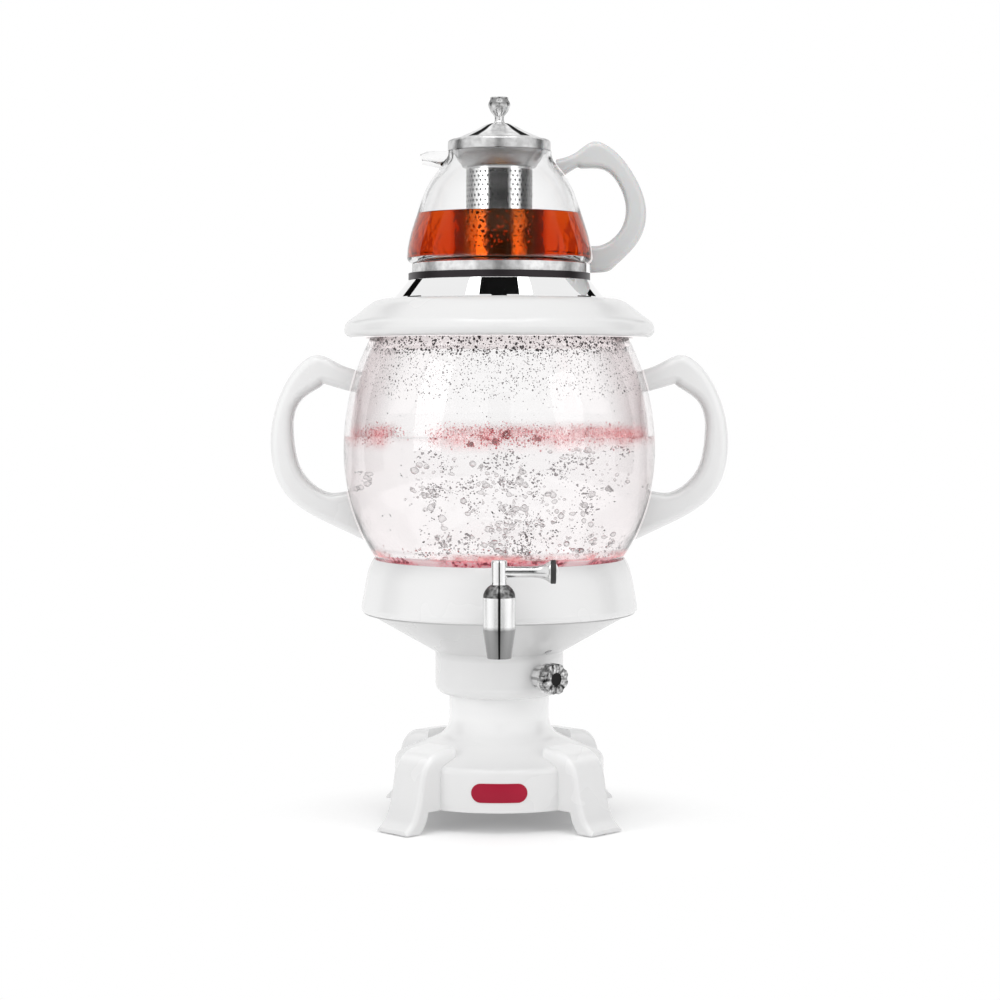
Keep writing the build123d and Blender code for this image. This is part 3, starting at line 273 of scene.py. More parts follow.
# ---- shared surface effects ----------------------------------------------------------------------

FLOAT, COLOUR, VECTOR = "NodeSocketFloat", "NodeSocketColor", "NodeSocketVector"
SURFACE = [("Colour", COLOUR), ("Roughness", FLOAT), ("Normal", VECTOR)]


def effect(name, inputs, outputs):
    """Starts a group of steps with named inputs (name, kind, value) and outputs (name, kind)."""
    group = bpy.data.node_groups.new(name, "ShaderNodeTree")
    for label, kind, value in inputs:
        socket = group.interface.new_socket(name=label, in_out="INPUT", socket_type=kind)
        socket.default_value = value
    for label, kind in outputs:
        group.interface.new_socket(name=label, in_out="OUTPUT", socket_type=kind)
    given, results = group.nodes.new("NodeGroupInput"), group.nodes.new("NodeGroupOutput")
    return group, given.outputs, results.inputs


def give(group, results, values):
    """Puts values out of a group by name, and hands the group back."""
    for label, value in values.items():
        feed(group, results[label], value)
    return group


def moulded_surface_effect():
    """Faint flow marks and tone of a moulded plastic or rubber skin."""
    group, given, results = effect(
        "moulded_surface",
        [("Colour", COLOUR, (0.8, 0.8, 0.8, 1)), ("Roughness", FLOAT, 0.3),
         ("Grain", FLOAT, 900.0), ("Grain Depth", FLOAT, 0.05), ("Tone", FLOAT, 0.96)],
        SURFACE,
    )
    flow_scale, wave_scale = 14, 30
    flow_roughness, wave_share, full_depth = 0.04, 0.3, 0.0002
    flow = noise(group, flow_scale, detail=3)
    grain = noise(group, given["Grain"])
    wave = noise(group, wave_scale, detail=1)
    tone = tuned(group, flow, first=given["Tone"])
    height = reckon(group, "MULTIPLY_ADD", wave, wave_share, grain)
    return give(group, results, {
        "Colour": blend(group, "MULTIPLY", given["Colour"], tone),
        "Roughness": reckon(group, "MULTIPLY_ADD", flow, flow_roughness, given["Roughness"]),
        "Normal": bumped(group, height, given["Grain Depth"], full_depth),
    })


def metal_marks_effect():
    """Lathe lines round the axis, rubbed patches and fine dents on metal."""
    group, given, results = effect(
        "metal_marks",
        [("Colour", COLOUR, (0.8, 0.8, 0.8, 1)), ("Roughness", FLOAT, 0.2),
         ("Lines", FLOAT, 1500.0), ("Line Depth", FLOAT, 0.1), ("Line Tone", FLOAT, 0.88),
         ("Rub", FLOAT, 0.1)],
        SURFACE,
    )
    stretch, rub_scale, full_depth = (0.03, 0.03, 1.0), 45, 0.0001
    drawn_out = step(
        group, "VectorMath", {0: point_of(group), 1: stretch}, operation="MULTIPLY"
    ).outputs["Vector"]
    lines = noise(group, given["Lines"], detail=3, vector=drawn_out)
    rubbed = noise(group, rub_scale, detail=4)
    tone = tuned(group, lines, first=given["Line Tone"])
    return give(group, results, {
        "Colour": blend(group, "MULTIPLY", given["Colour"], tone),
        "Roughness": reckon(group, "MULTIPLY_ADD", rubbed, given["Rub"], given["Roughness"]),
        "Normal": bumped(group, lines, given["Line Depth"], full_depth),
    })


def perforation_effect():
    """Rows of small holes round an upright cylinder, and painted reflection: light and dark flanks
    of its sheet.
    """
    group, given, results = effect(
        "perforated_cylinder",
        [("Radius", FLOAT, 0.0234), ("Pitch", FLOAT, 0.0036), ("Hole", FLOAT, 0.00085),
         ("Low", FLOAT, 0.40), ("High", FLOAT, 0.458)],
        [("Sheet", FLOAT), ("Tone", COLOUR)],
    )
    row_pitch, collar_grey = 0.87, 0.52
    flanks = [
        (0.0, 0.4), (0.10, 0.35), (0.16, 0.95), (0.31, 0.9), (0.36, 0.07), (0.62, 0.04),
        (0.68, 0.6), (0.80, 0.7), (0.84, 0.1), (1.0, 0.3),
    ]

    def sum_of(operation, *values):
        return reckon(group, operation, *values)

    x, y, z = split_up(group)
    row = sum_of("DIVIDE", z, sum_of("MULTIPLY", given["Pitch"], row_pitch))
    odd = sum_of("MULTIPLY", sum_of("MODULO", sum_of("FLOOR", row), 2), 0.5)
    round_way = sum_of("MULTIPLY", sum_of("ARCTAN2", y, x), given["Radius"])
    column = sum_of("ADD", sum_of("DIVIDE", round_way, given["Pitch"]), odd)
    across = sum_of("SUBTRACT", sum_of("FRACT", column), 0.5)
    along = sum_of("MULTIPLY", sum_of("SUBTRACT", sum_of("FRACT", row), 0.5), row_pitch)
    squares = [sum_of("MULTIPLY", side, side) for side in (across, along)]
    off = sum_of("SQRT", sum_of("ADD", *squares))
    hole = sum_of("LESS_THAN", sum_of("MULTIPLY", off, given["Pitch"]), given["Hole"])
    over, under = sum_of("GREATER_THAN", z, given["Low"]), sum_of("LESS_THAN", z, given["High"])
    open_here = sum_of("MULTIPLY", hole, sum_of("MULTIPLY", over, under))
    width = sum_of("MULTIPLY", given["Radius"], 2)
    # painted reflection: light and dark upright bands across the sheet, by how far right a point
    # lies
    flank = ramp_on(group, sum_of("ADD", sum_of("DIVIDE", x, width), 0.5), flanks)
    collar = sum_of("GREATER_THAN", z, given["High"])
    return give(group, results, {
        "Sheet": sum_of("SUBTRACT", 1.0, open_here),
        "Tone": blend(group, "MIX", flank, tint_of(collar_grey), collar),
    })


def round_the_axis_effect():
    """Where a point lies round an upright axis: from the front, round, outwards and upwards."""
    group, given, results = effect(
        "round_the_axis", [("Place", VECTOR, (0, 0, 0))],
        [("From Front", FLOAT), ("Round", FLOAT), ("Out", FLOAT), ("Height", FLOAT)],
    )
    x, y, z = split_up(group, given["Place"])
    turn = reckon(group, "ARCTAN2", x, reckon(group, "MULTIPLY", y, -1))
    share = reckon(group, "DIVIDE", turn, pi)
    flat = step(group, "CombineXYZ", {"X": x, "Y": y}).outputs["Vector"]
    out = step(group, "VectorMath", {0: flat}, operation="LENGTH").outputs["Value"]
    return give(group, results, {
        "From Front": reckon(group, "ABSOLUTE", share), "Round": share, "Out": out, "Height": z,
    })


MOULDED = moulded_surface_effect()
METAL_MARKS = metal_marks_effect()
PERFORATION = perforation_effect()
ROUND_THE_AXIS = round_the_axis_effect()


# ---- finishes ------------------------------------------------------------------------------------


def finish(name, **values):
    """Starts a finish; each value goes on the surface's socket of that name, with _ for a space."""
    material = bpy.data.materials.new(name)
    material.use_nodes = True
    skin = skin_of(material)
    for label, value in values.items():
        skin[label.replace("_", " ")].default_value = value
    return material, material.node_tree, skin


def dressed(name, effect_group, settings, **values):
    """A finish whose colour, roughness and normal come through one of the shared effects."""
    material, tree, skin = finish(name, **values)
    shown = step(tree, "Group", settings, node_tree=effect_group).outputs
    for label, source in (
        ("Base Color", "Colour"), ("Roughness", "Roughness"), ("Normal", "Normal")
    ):
        feed(tree, skin[label], shown[source])
    return material


def moulded(name, colour, roughness, grain=900.0, depth=0.05, tone=0.96, **values):
    """Moulded plastic or rubber, with the scale and depth of its grain and its darkest tone."""
    settings = {
        "Colour": tint_of(colour), "Roughness": roughness, "Grain": grain, "Grain Depth": depth,
        "Tone": tone,
    }
    return dressed(name, MOULDED, settings, **values)


def white_gloss(name, grey):
    """White plastic under a thin clear shine."""
    return moulded(name, grey, 0.25, tone=0.985, Coat_Weight=0.3, Coat_Roughness=0.15)


def metal(name, colour, roughness, lines=1500.0, depth=0.08, rub=0.06, tone=0.88, **values):
    """Metal with the scale, depth and darkest tone of its lathe lines, and its rubbed patches."""
    settings = {
        "Colour": tint_of(colour), "Roughness": roughness, "Lines": lines, "Line Depth": depth,
        "Rub": rub, "Line Tone": tone,
    }
    return dressed(name, METAL_MARKS, settings, Metallic=1.0, **values)


def painted_glow_by_height(material, rise, stops, colour, strength):
    """Paints light into a finish: a faint glow that changes with height."""
    tree, skin = material.node_tree, skin_of(material)
    share = ramp_on(tree, levelled(tree, split_up(tree)[2], rise), stops)
    skin["Emission Strength"].default_value = strength
    feed(tree, skin["Emission Color"], blend(tree, "MULTIPLY", tint_of(colour), share))


def painted_shade_by_height(material, rise, stops):
    """Paints shade into a moulded finish: a grey that changes with height."""
    tree = material.node_tree
    block = next(node for node in tree.nodes if node.type == "GROUP")
    tones = ramp_on(tree, levelled(tree, split_up(tree)[2], rise), stops)
    feed(tree, block.inputs["Colour"], tones)


def basket_finish():
    """Perforated stainless sheet: its holes let light through, and its flanks carry light and dark
    bands of painted reflection.
    """
    material, tree, skin = finish("perforated_steel", Metallic=1.0, Roughness=0.25)
    sheet = step(tree, "Group", {}, node_tree=PERFORATION).outputs
    wear_scale, wear, full_depth = 350, 0.4, 0.0003
    feed(tree, skin["Base Color"], sheet["Tone"])
    feed(tree, skin["Alpha"], sheet["Sheet"])
    feed(tree, skin["Normal"], bumped(tree, noise(tree, wear_scale), wear, full_depth))
    return material


def metal_with_painted_reflections(
    name, roughness, bands, rise, rise_bands, centre=(0, 0, 0), tip=(0, 0), mottle=(0.97, 1.0),
    scale=60, times=0, mottled_from=None, banded_from=None, painted_streaks=None, metallic=1.0, edge=1.0,
):
    """Turned metal with painted reflections: set light and dark bands round its axis and along it,
    and blotches.

    The axis stands at a centre in millimetres, tipped by two angles. Bands run from the front (0)
    to the back (1), or repeat a number of times round, and may begin at a level. Rise is the range,
    in millimetres, of the bands along the axis, or outwards where the bands repeat. Streaks are
    painted reflections too: bands of matt black above that level, dark even where the metal is seen
    at a flat angle.
    """
    material, tree, skin = finish(
        name, Metallic=metallic, Roughness=roughness, Specular_Tint=tint_of(edge),
        Specular_IOR_Level=0.0 if painted_streaks else 0.5,
    )
    place = {
        "Vector": point_of(tree), "Location": [MM * value for value in centre],
        "Rotation": (radians(tip[0]), 0, radians(tip[1])),
    }
    local = step(tree, "Mapping", place, vector_type="TEXTURE").outputs["Vector"]
    axis = step(tree, "Group", {"Place": local}, node_tree=ROUND_THE_AXIS).outputs
    turn, along = axis["From Front"], axis["Height"]
    if times:
        turn = reckon(tree, "FRACT", reckon(tree, "MULTIPLY", axis["Round"], times))
        along = axis["Out"]
    # painted reflection: light and dark bands round the axis
    colour = ramp_on(tree, turn, bands)
    if banded_from is not None:
        plain = tint_of(bands[-1][1])
        above = levelled(tree, axis["Height"], (banded_from, banded_from + 1))
        colour = blend(tree, "MIX", plain, colour, above)
    # painted reflection: matt black streaks
    if painted_streaks:
        bright = ramp_on(tree, turn, [(spot, 1 - black) for spot, black in painted_streaks])
        bright = blend(tree, "MIX", tint_of(1), bright, above)
        colour = blend(tree, "MULTIPLY", colour, bright)
        feed(tree, skin["Metallic"], bright)
    # painted reflection: light and dark bands along the axis
    painted_height_bands = ramp_on(tree, levelled(tree, along, rise), rise_bands)
    colour = blend(tree, "MULTIPLY", colour, painted_height_bands)
    palest, darkest = 0.35, 0.65
    blotches = tuned(tree, noise(tree, scale, detail=4), palest, darkest)
    share = 1.0
    if mottled_from is not None:
        share = levelled(tree, axis["Height"], (mottled_from - 1, mottled_from))
    spots = ramp_on(tree, blotches, [(0, mottle[0]), (1, mottle[1])])
    feed(tree, skin["Base Color"], blend(tree, "MULTIPLY", colour, spots, share))
    return material


def haze_finish():
    """Steam on the inside of the glass, a faint pinkish grey that thickens towards the sides."""
    material, tree, skin = finish("steam_haze", Base_Color=(0.9, 0.74, 0.75, 1), Roughness=0.8)
    slant, clear_up_to, thickest, wisp_scale = 0.3, 0.25, 1.15, 30
    side = tuned(tree, facing(tree, slant), low=clear_up_to, last=thickest)
    wisps = noise(tree, wisp_scale, detail=5)
    feed(tree, skin["Alpha"], reckon(tree, "MULTIPLY", side, wisps))
    return material


def clear_finish(name, colour, index, waviness=0.0, scale=20.0, shine=1.0):
    """A clear glass or liquid, with slow waves in its surface."""
    material, tree, skin = finish(
        name, Base_Color=tint_of(colour), Roughness=0.0, IOR=index, Transmission_Weight=1.0,
        Specular_Tint=tint_of(shine),
    )
    if waviness:
        wave_depth = 0.002
        feed(tree, skin["Normal"], bumped(tree, noise(tree, scale), waviness, wave_depth))
    return material


def steep(material, colour, strength):
    """Colours a clear liquid through its depth."""
    tree = material.node_tree
    depth = step(tree, "VolumeAbsorption", {"Color": tint_of(colour), "Density": strength})
    feed(tree, tree.nodes["Material Output"].inputs["Volume"], depth.outputs["Volume"])


def shade_flanks(material):
    """Paints shade into a clear liquid: it darkens two upright bands beside its middle."""
    tree = material.node_tree
    middle, flank, half_width = (1, 1, 0.85), (0.42, 0.16, 0.3), 0.065
    stops = [
        (0.0, middle), (0.34, middle), (0.385, flank), (0.46, flank), (0.52, (1, 0.78, 0.55)),
        (1.0, (0.95, 0.72, 0.55)),
    ]
    off = reckon(tree, "ABSOLUTE", split_up(tree)[0])
    bands = ramp_on(tree, tuned(tree, off, 0, half_width), stops)
    feed(tree, skin_of(material)["Base Color"], bands)


def paint_rim_shade(material, middle, rim, slant):
    """Paints shade on a clear finish, turning it from one tint, seen square on, to another at its
    rim.
    """
    tree = material.node_tree
    tint = blend(tree, "MIX", tint_of(middle), tint_of(rim), facing(tree, slant))
    feed(tree, skin_of(material)["Base Color"], tint)


def rimmed_finish(name, middle, rim, index=WATER_INDEX):
    """A clear bead or bubble, with painted shade that darkens it towards its rim."""
    material, slant = finish(name, Roughness=0.0, IOR=index, Transmission_Weight=1.0)[0], 0.35
    paint_rim_shade(material, middle, rim, slant)
    return material


def speckled_silicone():
    """Pink silicone with dark red specks and pale worn places, which glows faintly: painted light.
    """
    material, tree, skin = finish(
        "red_silicone", Roughness=0.4, Subsurface_Weight=0.2, Subsurface_Scale=0.004,
        Subsurface_Radius=(1, 0.3, 0.3), Emission_Strength=0.3,
    )
    dark_red, pink, light_pink, pale = (
        (0.28, 0.03, 0.05), (0.95, 0.32, 0.39), (1.0, 0.62, 0.66), (1.0, 0.8, 0.82)
    )
    speck_scale, worn_scale, worn_from, worn_to = 260, 28, 0.48, 0.58
    stops = [(0.42, dark_red), (0.50, pink), (0.60, light_pink)]
    dye = ramp_on(tree, noise(tree, speck_scale, detail=3), stops)
    worn = tuned(tree, noise(tree, worn_scale, detail=1), worn_from, worn_to)
    colour = blend(tree, "MIX", dye, tint_of(pale), worn)
    # painted light: the glow takes the silicone's own colours
    for label in ("Base Color", "Emission Color"):
        feed(tree, skin[label], colour)
    return material


def film_finish(name, level, reach, thickest):
    """A pink film on the glass, ragged and thin away from its level, that glows faintly: painted
    light.

    A clean stripe runs up through it, left of the tap.
    """
    material, tree, skin = finish(
        name, Roughness=0.6, Emission_Color=(1, 0.55, 0.55, 1), Emission_Strength=0.35
    )
    speck_scale, patch_scale, patch_roughness = 330, 22, 0.65
    patch_from, patch_to, thinnest = 0.38, 0.66, 0.05
    stripe_x, clean_up_to, full_from = -0.060, 0.010, 0.020
    dye = [(0.47, (1.0, 0.5, 0.5)), (0.58, (0.8, 0.10, 0.14))]
    feed(tree, skin["Base Color"], ramp_on(tree, noise(tree, speck_scale), dye))
    x, _, z = split_up(tree)
    away = reckon(tree, "ABSOLUTE", reckon(tree, "SUBTRACT", z, level * MM))
    near = tuned(tree, away, 0.0, reach * MM, 1.0, 0.0, "SMOOTHSTEP")
    patches = noise(tree, patch_scale, detail=5, roughness=patch_roughness)
    ragged = tuned(tree, patches, patch_from, patch_to, thinnest, thickest, "SMOOTHSTEP")
    beside = reckon(tree, "ABSOLUTE", reckon(tree, "SUBTRACT", x, stripe_x))
    kept = tuned(tree, beside, clean_up_to, full_from, way="SMOOTHSTEP")
    cover = reckon(tree, "MULTIPLY", reckon(tree, "MULTIPLY", near, ragged), kept)
    feed(tree, skin["Alpha"], cover)
    return material


# white pieces, lighter and darker copies of one white: painted light glows under the lid's edge
# and, faintly, on the foot, and painted shade makes the lid, the bowl and the foot's skirt greyer
# than the rest
white_lid_painted_light_and_shade = white_gloss("white_lid_gloss", 0.79)
white_bowl_painted_shade = white_gloss("white_bowl_gloss", 0.83)
white_foot_painted_light_and_shade = white_gloss("white_foot_gloss", 0.93)
painted_glow_by_height(white_lid_painted_light_and_shade, (340.8, 340.9), [(0, 1), (1, 0)], (1.0, 0.93, 0.93), 0.5)
painted_shade_by_height(white_bowl_painted_shade, (114, 150), [(0, 0.86), (0.15, 0.70), (1, 0.66)])
painted_shade_by_height(white_foot_painted_light_and_shade, (40, 50), [(0, 0.87), (1, 0.93)])
painted_glow_by_height(
    white_foot_painted_light_and_shade, (40, 100), [(0, 0), (0.1, 0), (0.25, 1), (0.55, 1), (0.8, 0)], (1, 1, 1), 0.08
)

# finishes of the small pieces that are modelled here
# painted shadow in part: the seam silicone's dark blotches stand for the seam's shadow line
seam_shadow_silicone = moulded("grey_seam_silicone", 0.8, 0.6, grain=110, depth=0.3, tone=0.1)
black_rubber = moulded("black_rubber", 0.03, 0.6, grain=2500, depth=0.25, tone=0.8)
gunmetal = metal("gunmetal_ring", (0.055, 0.048, 0.052), 0.3, depth=0.1, rub=0.2, tone=0.6)
badge_enamel = moulded(
    "red_badge_enamel", (0.5, 0.006, 0.04), 0.35, tone=0.6, grain=260, Specular_IOR_Level=0.25,
    Coat_Weight=0.08, Coat_Roughness=0.2,
)

# glass and liquids; the glasses' darker rims and the tea's darker bands are painted shade
globe_glass = clear_finish("globe_clear_glass", (0.997, 0.99, 0.99), GLASS_INDEX)
paint_rim_shade(globe_glass, (1.0, 0.995, 0.995), (0.92, 0.86, 0.865), 0.45)
teapot_glass = clear_finish("teapot_clear_glass", 0.99, GLASS_INDEX, shine=0.12)
paint_rim_shade(teapot_glass, 0.99, (0.5, 0.5, 0.51), 0.15)
boiling_water = clear_finish(
    "boiling_water", (0.99, 0.975, 0.977), WATER_INDEX, waviness=0.15, scale=60, shine=0.5
)
black_tea = clear_finish(
    "black_tea", (1.0, 0.95, 0.9), WATER_INDEX, waviness=0.5, scale=90, shine=0.0
)
steep(black_tea, (0.945, 0.66, 0.25), 80)
shade_flanks(black_tea)

# drops, bubbles, foam and what they leave on the glass; the drops' dark and grey tints are painted
# shade
drop_painted_dark = rimmed_finish("drop_painted_dark", (0.06, 0.045, 0.05), (0.01, 0.008, 0.01))
drop_painted_grey = rimmed_finish("drop_painted_grey", (0.35, 0.33, 0.34), (0.03, 0.025, 0.03))
red_speck = rimmed_finish("red_speck", (0.8, 0.2, 0.22), (0.12, 0.01, 0.02))
bubble_air = rimmed_finish("bubble_air", (0.9, 0.89, 0.89), (0.12, 0.11, 0.12), BUBBLE_INDEX)
pink_foam = rimmed_finish("pink_foam", (1.0, 0.6, 0.62), (0.5, 0.06, 0.09), FOAM_INDEX)
steam_haze = haze_finish()
pink_film = film_finish("pink_film", WATER_Z, 11, 0.38)
seal_film = film_finish("seal_film", SEAL_Z, 5, 0.95)

# the record's material slots
FINISH_OF_SLOT = {
    "white_shell": white_gloss("white_shell_gloss", 0.87),
    "white_handle": white_gloss("white_handle_gloss", 0.87),
    "grey_handle": moulded(
        "milky_grey_handle", (0.64, 0.645, 0.645), 0.22, Subsurface_Weight=0.15,
        Subsurface_Scale=0.01, Coat_Weight=0.3,
    ),
    "grey_plastic": moulded("grey_plastic", (0.42, 0.42, 0.43), 0.5, grain=1500, depth=0.2),
    "black_plastic": moulded(
        "black_plastic", 0.012, 0.35, grain=1500, depth=0.15, tone=0.8, Specular_IOR_Level=0.15
    ),
    "foot_rubber": moulded("grey_foot_rubber", 0.5, 0.7, grain=2500, depth=0.3, tone=0.85),
    "black_rubber": black_rubber,
    "red_silicone": speckled_silicone(),
    # painted light: the clear silicone glows faintly
    "clear_silicone": moulded(
        "clear_silicone", (0.88, 0.87, 0.87), 0.3, Transmission_Weight=0.2,
        Emission_Color=(1, 0.93, 0.93, 1), Emission_Strength=0.3,
    ),
    "lamp_lens": moulded("grey_lamp_lens", (0.35, 0.35, 0.36), 0.15, Coat_Weight=0.6),
    "chrome": metal("polished_chrome", 0.86, 0.02, lines=300, depth=0.0, rub=0.02, tone=0.97),
    "stainless": metal("stainless_steel", 0.68, 0.16, lines=2500, depth=0.12, rub=0.08),
    "zinc_screw": metal("zinc_screw", (0.6, 0.6, 0.58), 0.3, depth=0.1),
    "cast_aluminium": metal("cast_aluminium", 0.6, 0.45, lines=400, depth=0.3),
    "brass_plug": metal("turned_brass", (0.7, 0.52, 0.22), 0.25, depth=0.1),
    "clear_glass": globe_glass,
    "teapot_glass": teapot_glass,
}

# bright metals with painted reflections: set light and dark bands
tap_chrome = metal_with_painted_reflections(
    "tap_chrome", 0.2,
    [(0, 0.015), (0.017, 0.015), (0.03, 0.9), (0.2, 1.0), (0.42, 0.85), (0.5, 0.6), (1.0, 0.85)],
    (127, 193), [(0, 0.3), (0.29, 0.36), (0.33, 1.0), (1, 1.0)], centre=(0, TAP_Y, 0),
)
dome_steel = metal_with_painted_reflections(
    "dome_steel", 0.35, [(0, 0.04), (0.02, 0.04), (0.035, 0.42), (0.5, 0.3), (1, 0.3)],
    (167, 176), [(0, 1.0), (0.5, 0.8), (1, 0.9)], centre=(0, TAP_Y, 0), mottle=(0.25, 1.0),
    scale=420, edge=0.5,
)
lever_chrome = metal_with_painted_reflections(
    "lever_chrome", 0.3, [(0, 0.92), (1, 0.95)], (-9, 9),
    [(0, 0.7), (0.35, 0.9), (0.5, 1.0), (1, 1.0)], centre=(0, TAP_Y, LEVER_Z),
    mottle=(0.9, 1.0), metallic=0.45,
)
knob_chrome = metal_with_painted_reflections(
    "knob_chrome", 0.12, [(0, 0.45), (0.12, 0.5), (0.2, 0.95), (0.8, 0.95), (0.9, 0.45)],
    (0, 11), [(0, 0.004), (0.30, 0.004), (0.34, 0.9), (0.6, 1.0), (1, 0.8)], centre=KNOB_FACE,
    tip=KNOB_TIP, mottle=(0.01, 1.0), scale=300, times=4, mottled_from=-6,
)
cup_steel = metal_with_painted_reflections(
    "cup_steel", 0.25,
    [(0, 0.62), (0.07, 0.7), (0.1, 1.0), (0.3, 1.0), (0.42, 0.7), (0.5, 0.35), (1, 0.9)],
    (383, 393), [(0, 0.8), (0.3, 0.95), (1, 1.0)], mottle=(0.7, 1.0), scale=240, metallic=0.6,
)
lid_steel = metal_with_painted_reflections(
    "lid_steel", 0.3, [(0, 1.0), (0.12, 0.95), (0.3, 0.85), (1, 0.76)], (480, 482),
    [(0, 1.0), (1, 1.0)], mottle=(0.7, 1.0), scale=180, banded_from=480,
    painted_streaks=[(0.15, 0), (0.17, 0.98), (0.24, 0.98), (0.26, 0)],
)
finial_steel = metal_with_painted_reflections(
    "finial_steel", 0.25, [(0, 1.0), (0.3, 0.9), (0.5, 0.7), (1, 0.9)], (490, 512),
    [(0, 0.9), (0.6, 0.95), (0.68, 0.35), (0.84, 0.35), (0.9, 1.0)], mottle=(0.6, 1.0), scale=260,
)

# pieces whose finish is their own, and not their slot's
FINISH_OF_NODE = {
    "tap_body": tap_chrome, "tap_lever": tap_chrome, "lever_end": lever_chrome,
    "tap_bonnet": dome_steel, "infuser_basket": basket_finish(), "teapot_cup": cup_steel,
    "thermostat_knob": knob_chrome, "teapot_lid": lid_steel, "lid_finial": finial_steel,
    "lid_brim": white_lid_painted_light_and_shade, "neck_housing": white_bowl_painted_shade, "pedestal_base": white_foot_painted_light_and_shade,
}
for part in frame["record"]["subparts"]:
    node = part["node"]
    for place in nodes[node].material_slots:
        place.material = FINISH_OF_NODE.get(node) or FINISH_OF_SLOT[part["material_slot"]]


# ---- water in the globe --------------------------------------------------------------------------

GAP = 0.3  # between the water and the pan
WETTING = 0.4  # how far a liquid reaches into the glass, so that no air shows between them

wet_glass = [
    (inner_wall("globe", height) + WETTING, height) for height in np.linspace(189, WATER_Z, 14)
]
ripples = [(96, WATER_Z + 0.5), (70, WATER_Z + 0.2), (45, WATER_Z + 0.7), (20, WATER_Z + 0.3)]
water = turned(
    [(40, PAN_FLOOR_Z + GAP), (71, PAN_FLOOR_Z + GAP), (PAN_WALL_R - GAP, PAN_FLOOR_Z + 4),
     (PAN_WALL_R - 1, 174.5), (82.4, 188.2), *wet_glass, *ripples]
)
settle(water, "boiling_water", boiling_water, "body")

# ---- drops, bubbles and foam ---------------------------------------------------------------------

DROP_HANG = 0.12  # how much a drop narrows towards its lower side
DROP_SQUASH, SPECK_SQUASH = 0.55, 0.7
SMALLER = 3  # the power that makes small drops many and large ones few

dice = np.random.default_rng(7)


def bead_pattern(segments, rings):
    """One drop: a rounded bead that hangs a little towards its lower side."""
    put_all_down()
    bpy.ops.mesh.primitive_uv_sphere_add(segments=segments, ring_count=rings, radius=1)
    drop = bpy.context.object
    for point in drop.data.vertices:
        if point.co.z < 0:
            point.co.x *= 1 + DROP_HANG * point.co.z
            point.co.y *= 1 + DROP_HANG * point.co.z
    return drop


def wall_place(angle, height, depth):
    """A point so deep inside the globe's inner wall, and the direction out through the wall."""
    radius = inner_wall("globe", height) - depth
    lower, upper = inner_wall("globe", height - 1), inner_wall("globe", height + 1)
    outward = Vector((cos(angle), sin(angle), (lower - upper) / 2)).normalized()
    return np.array((radius * cos(angle), radius * sin(angle), height)) * MM, np.array(outward)


def drop_size(small, large):
    """A size in metres between two in millimetres, more often a small one."""
    return (small + (large - small) * dice.random() ** SMALLER) * MM


def condensation(name, count, low, high, small, large, finish_used, front=0.0):
    """Drops on the globe's inside between two heights, a share of them near the tap's side."""
    crowding, front_spread, depth = 1.3, 0.35, 0.05
    places = []
    for _ in range(count):
        height = high - (high - low) * dice.random() ** crowding
        size = drop_size(small, large)
        in_front = dice.random() < front
        swirl = dice.normal(FRONT, front_spread) if in_front else dice.uniform(0, 2 * pi)
        place, outward = wall_place(swirl, height, depth)
        places.append((place, size, outward, DROP_SQUASH))
    copies(speck, name, places, finish_used)


def bubbles(name, pattern, count, clusters, spread, small, large, finish_used):
    """Bubbles in the water, most of them in loose clusters towards the middle."""
    right, wide, below, deep, crowding, margin = 4, 38, 8, 70, 0.9, 6
    lowest, highest, flattest = 190, WATER_Z - 2, 0.6
    hearts = [
        (dice.normal(right, wide), dice.normal(0, wide),
         WATER_Z - below - deep * dice.random() ** crowding)
        for _ in range(clusters)
    ]
    places = []
    while len(places) < count:
        x, y, level = hearts[dice.integers(clusters)] + dice.normal(0, spread, 3)
        out = sqrt(x * x + y * y)
        if not lowest < level < highest or out > inner_wall("globe", level) - margin:
            continue
        size = drop_size(small, large)
        places.append((np.array((x, y, level)) * MM, size, UPWARDS, dice.uniform(flattest, 1)))
    copies(pattern, name, places, finish_used)


def foam_clots(name, clots, count, finish_used):
    """Specks in clots near the waterline, each (millimetres right of the tap, height, spread)."""
    small, large, depth, flatness = 0.3, 0.9, 0.8, 0.7
    places = []
    for right, level, spread in clots:
        for _ in range(count):
            swirl = FRONT + (right + dice.normal(0, spread)) / inner_wall("globe", level)
            height = level + dice.normal(0, spread * flatness)
            place, outward = wall_place(swirl, height, depth)
            places.append((place, dice.uniform(small, large) * MM, outward, SPECK_SQUASH))
    copies(speck, name, places, finish_used)


def foam_specks(name, count, size, spread, finish_used):
    """Specks along the waterline on the glass, few where the glass has been washed clean."""
    washed_from, washed_to, washed_share, depth = -0.074, -0.047, 0.93, 0.4
    places = []
    while len(places) < count:
        swirl, level = dice.uniform(0, 2 * pi), WATER_Z + 1 + dice.normal(0, spread)
        place, outward = wall_place(swirl, level, depth)
        if washed_from < place[0] < washed_to and dice.random() < washed_share:
            continue
        speck_size = size * (0.5 + dice.random() ** 2) * MM
        places.append((place, speck_size, outward, SPECK_SQUASH))
    copies(speck, name, places, finish_used)


bead = bead_pattern(10, 6)
speck = bead_pattern(6, 4)

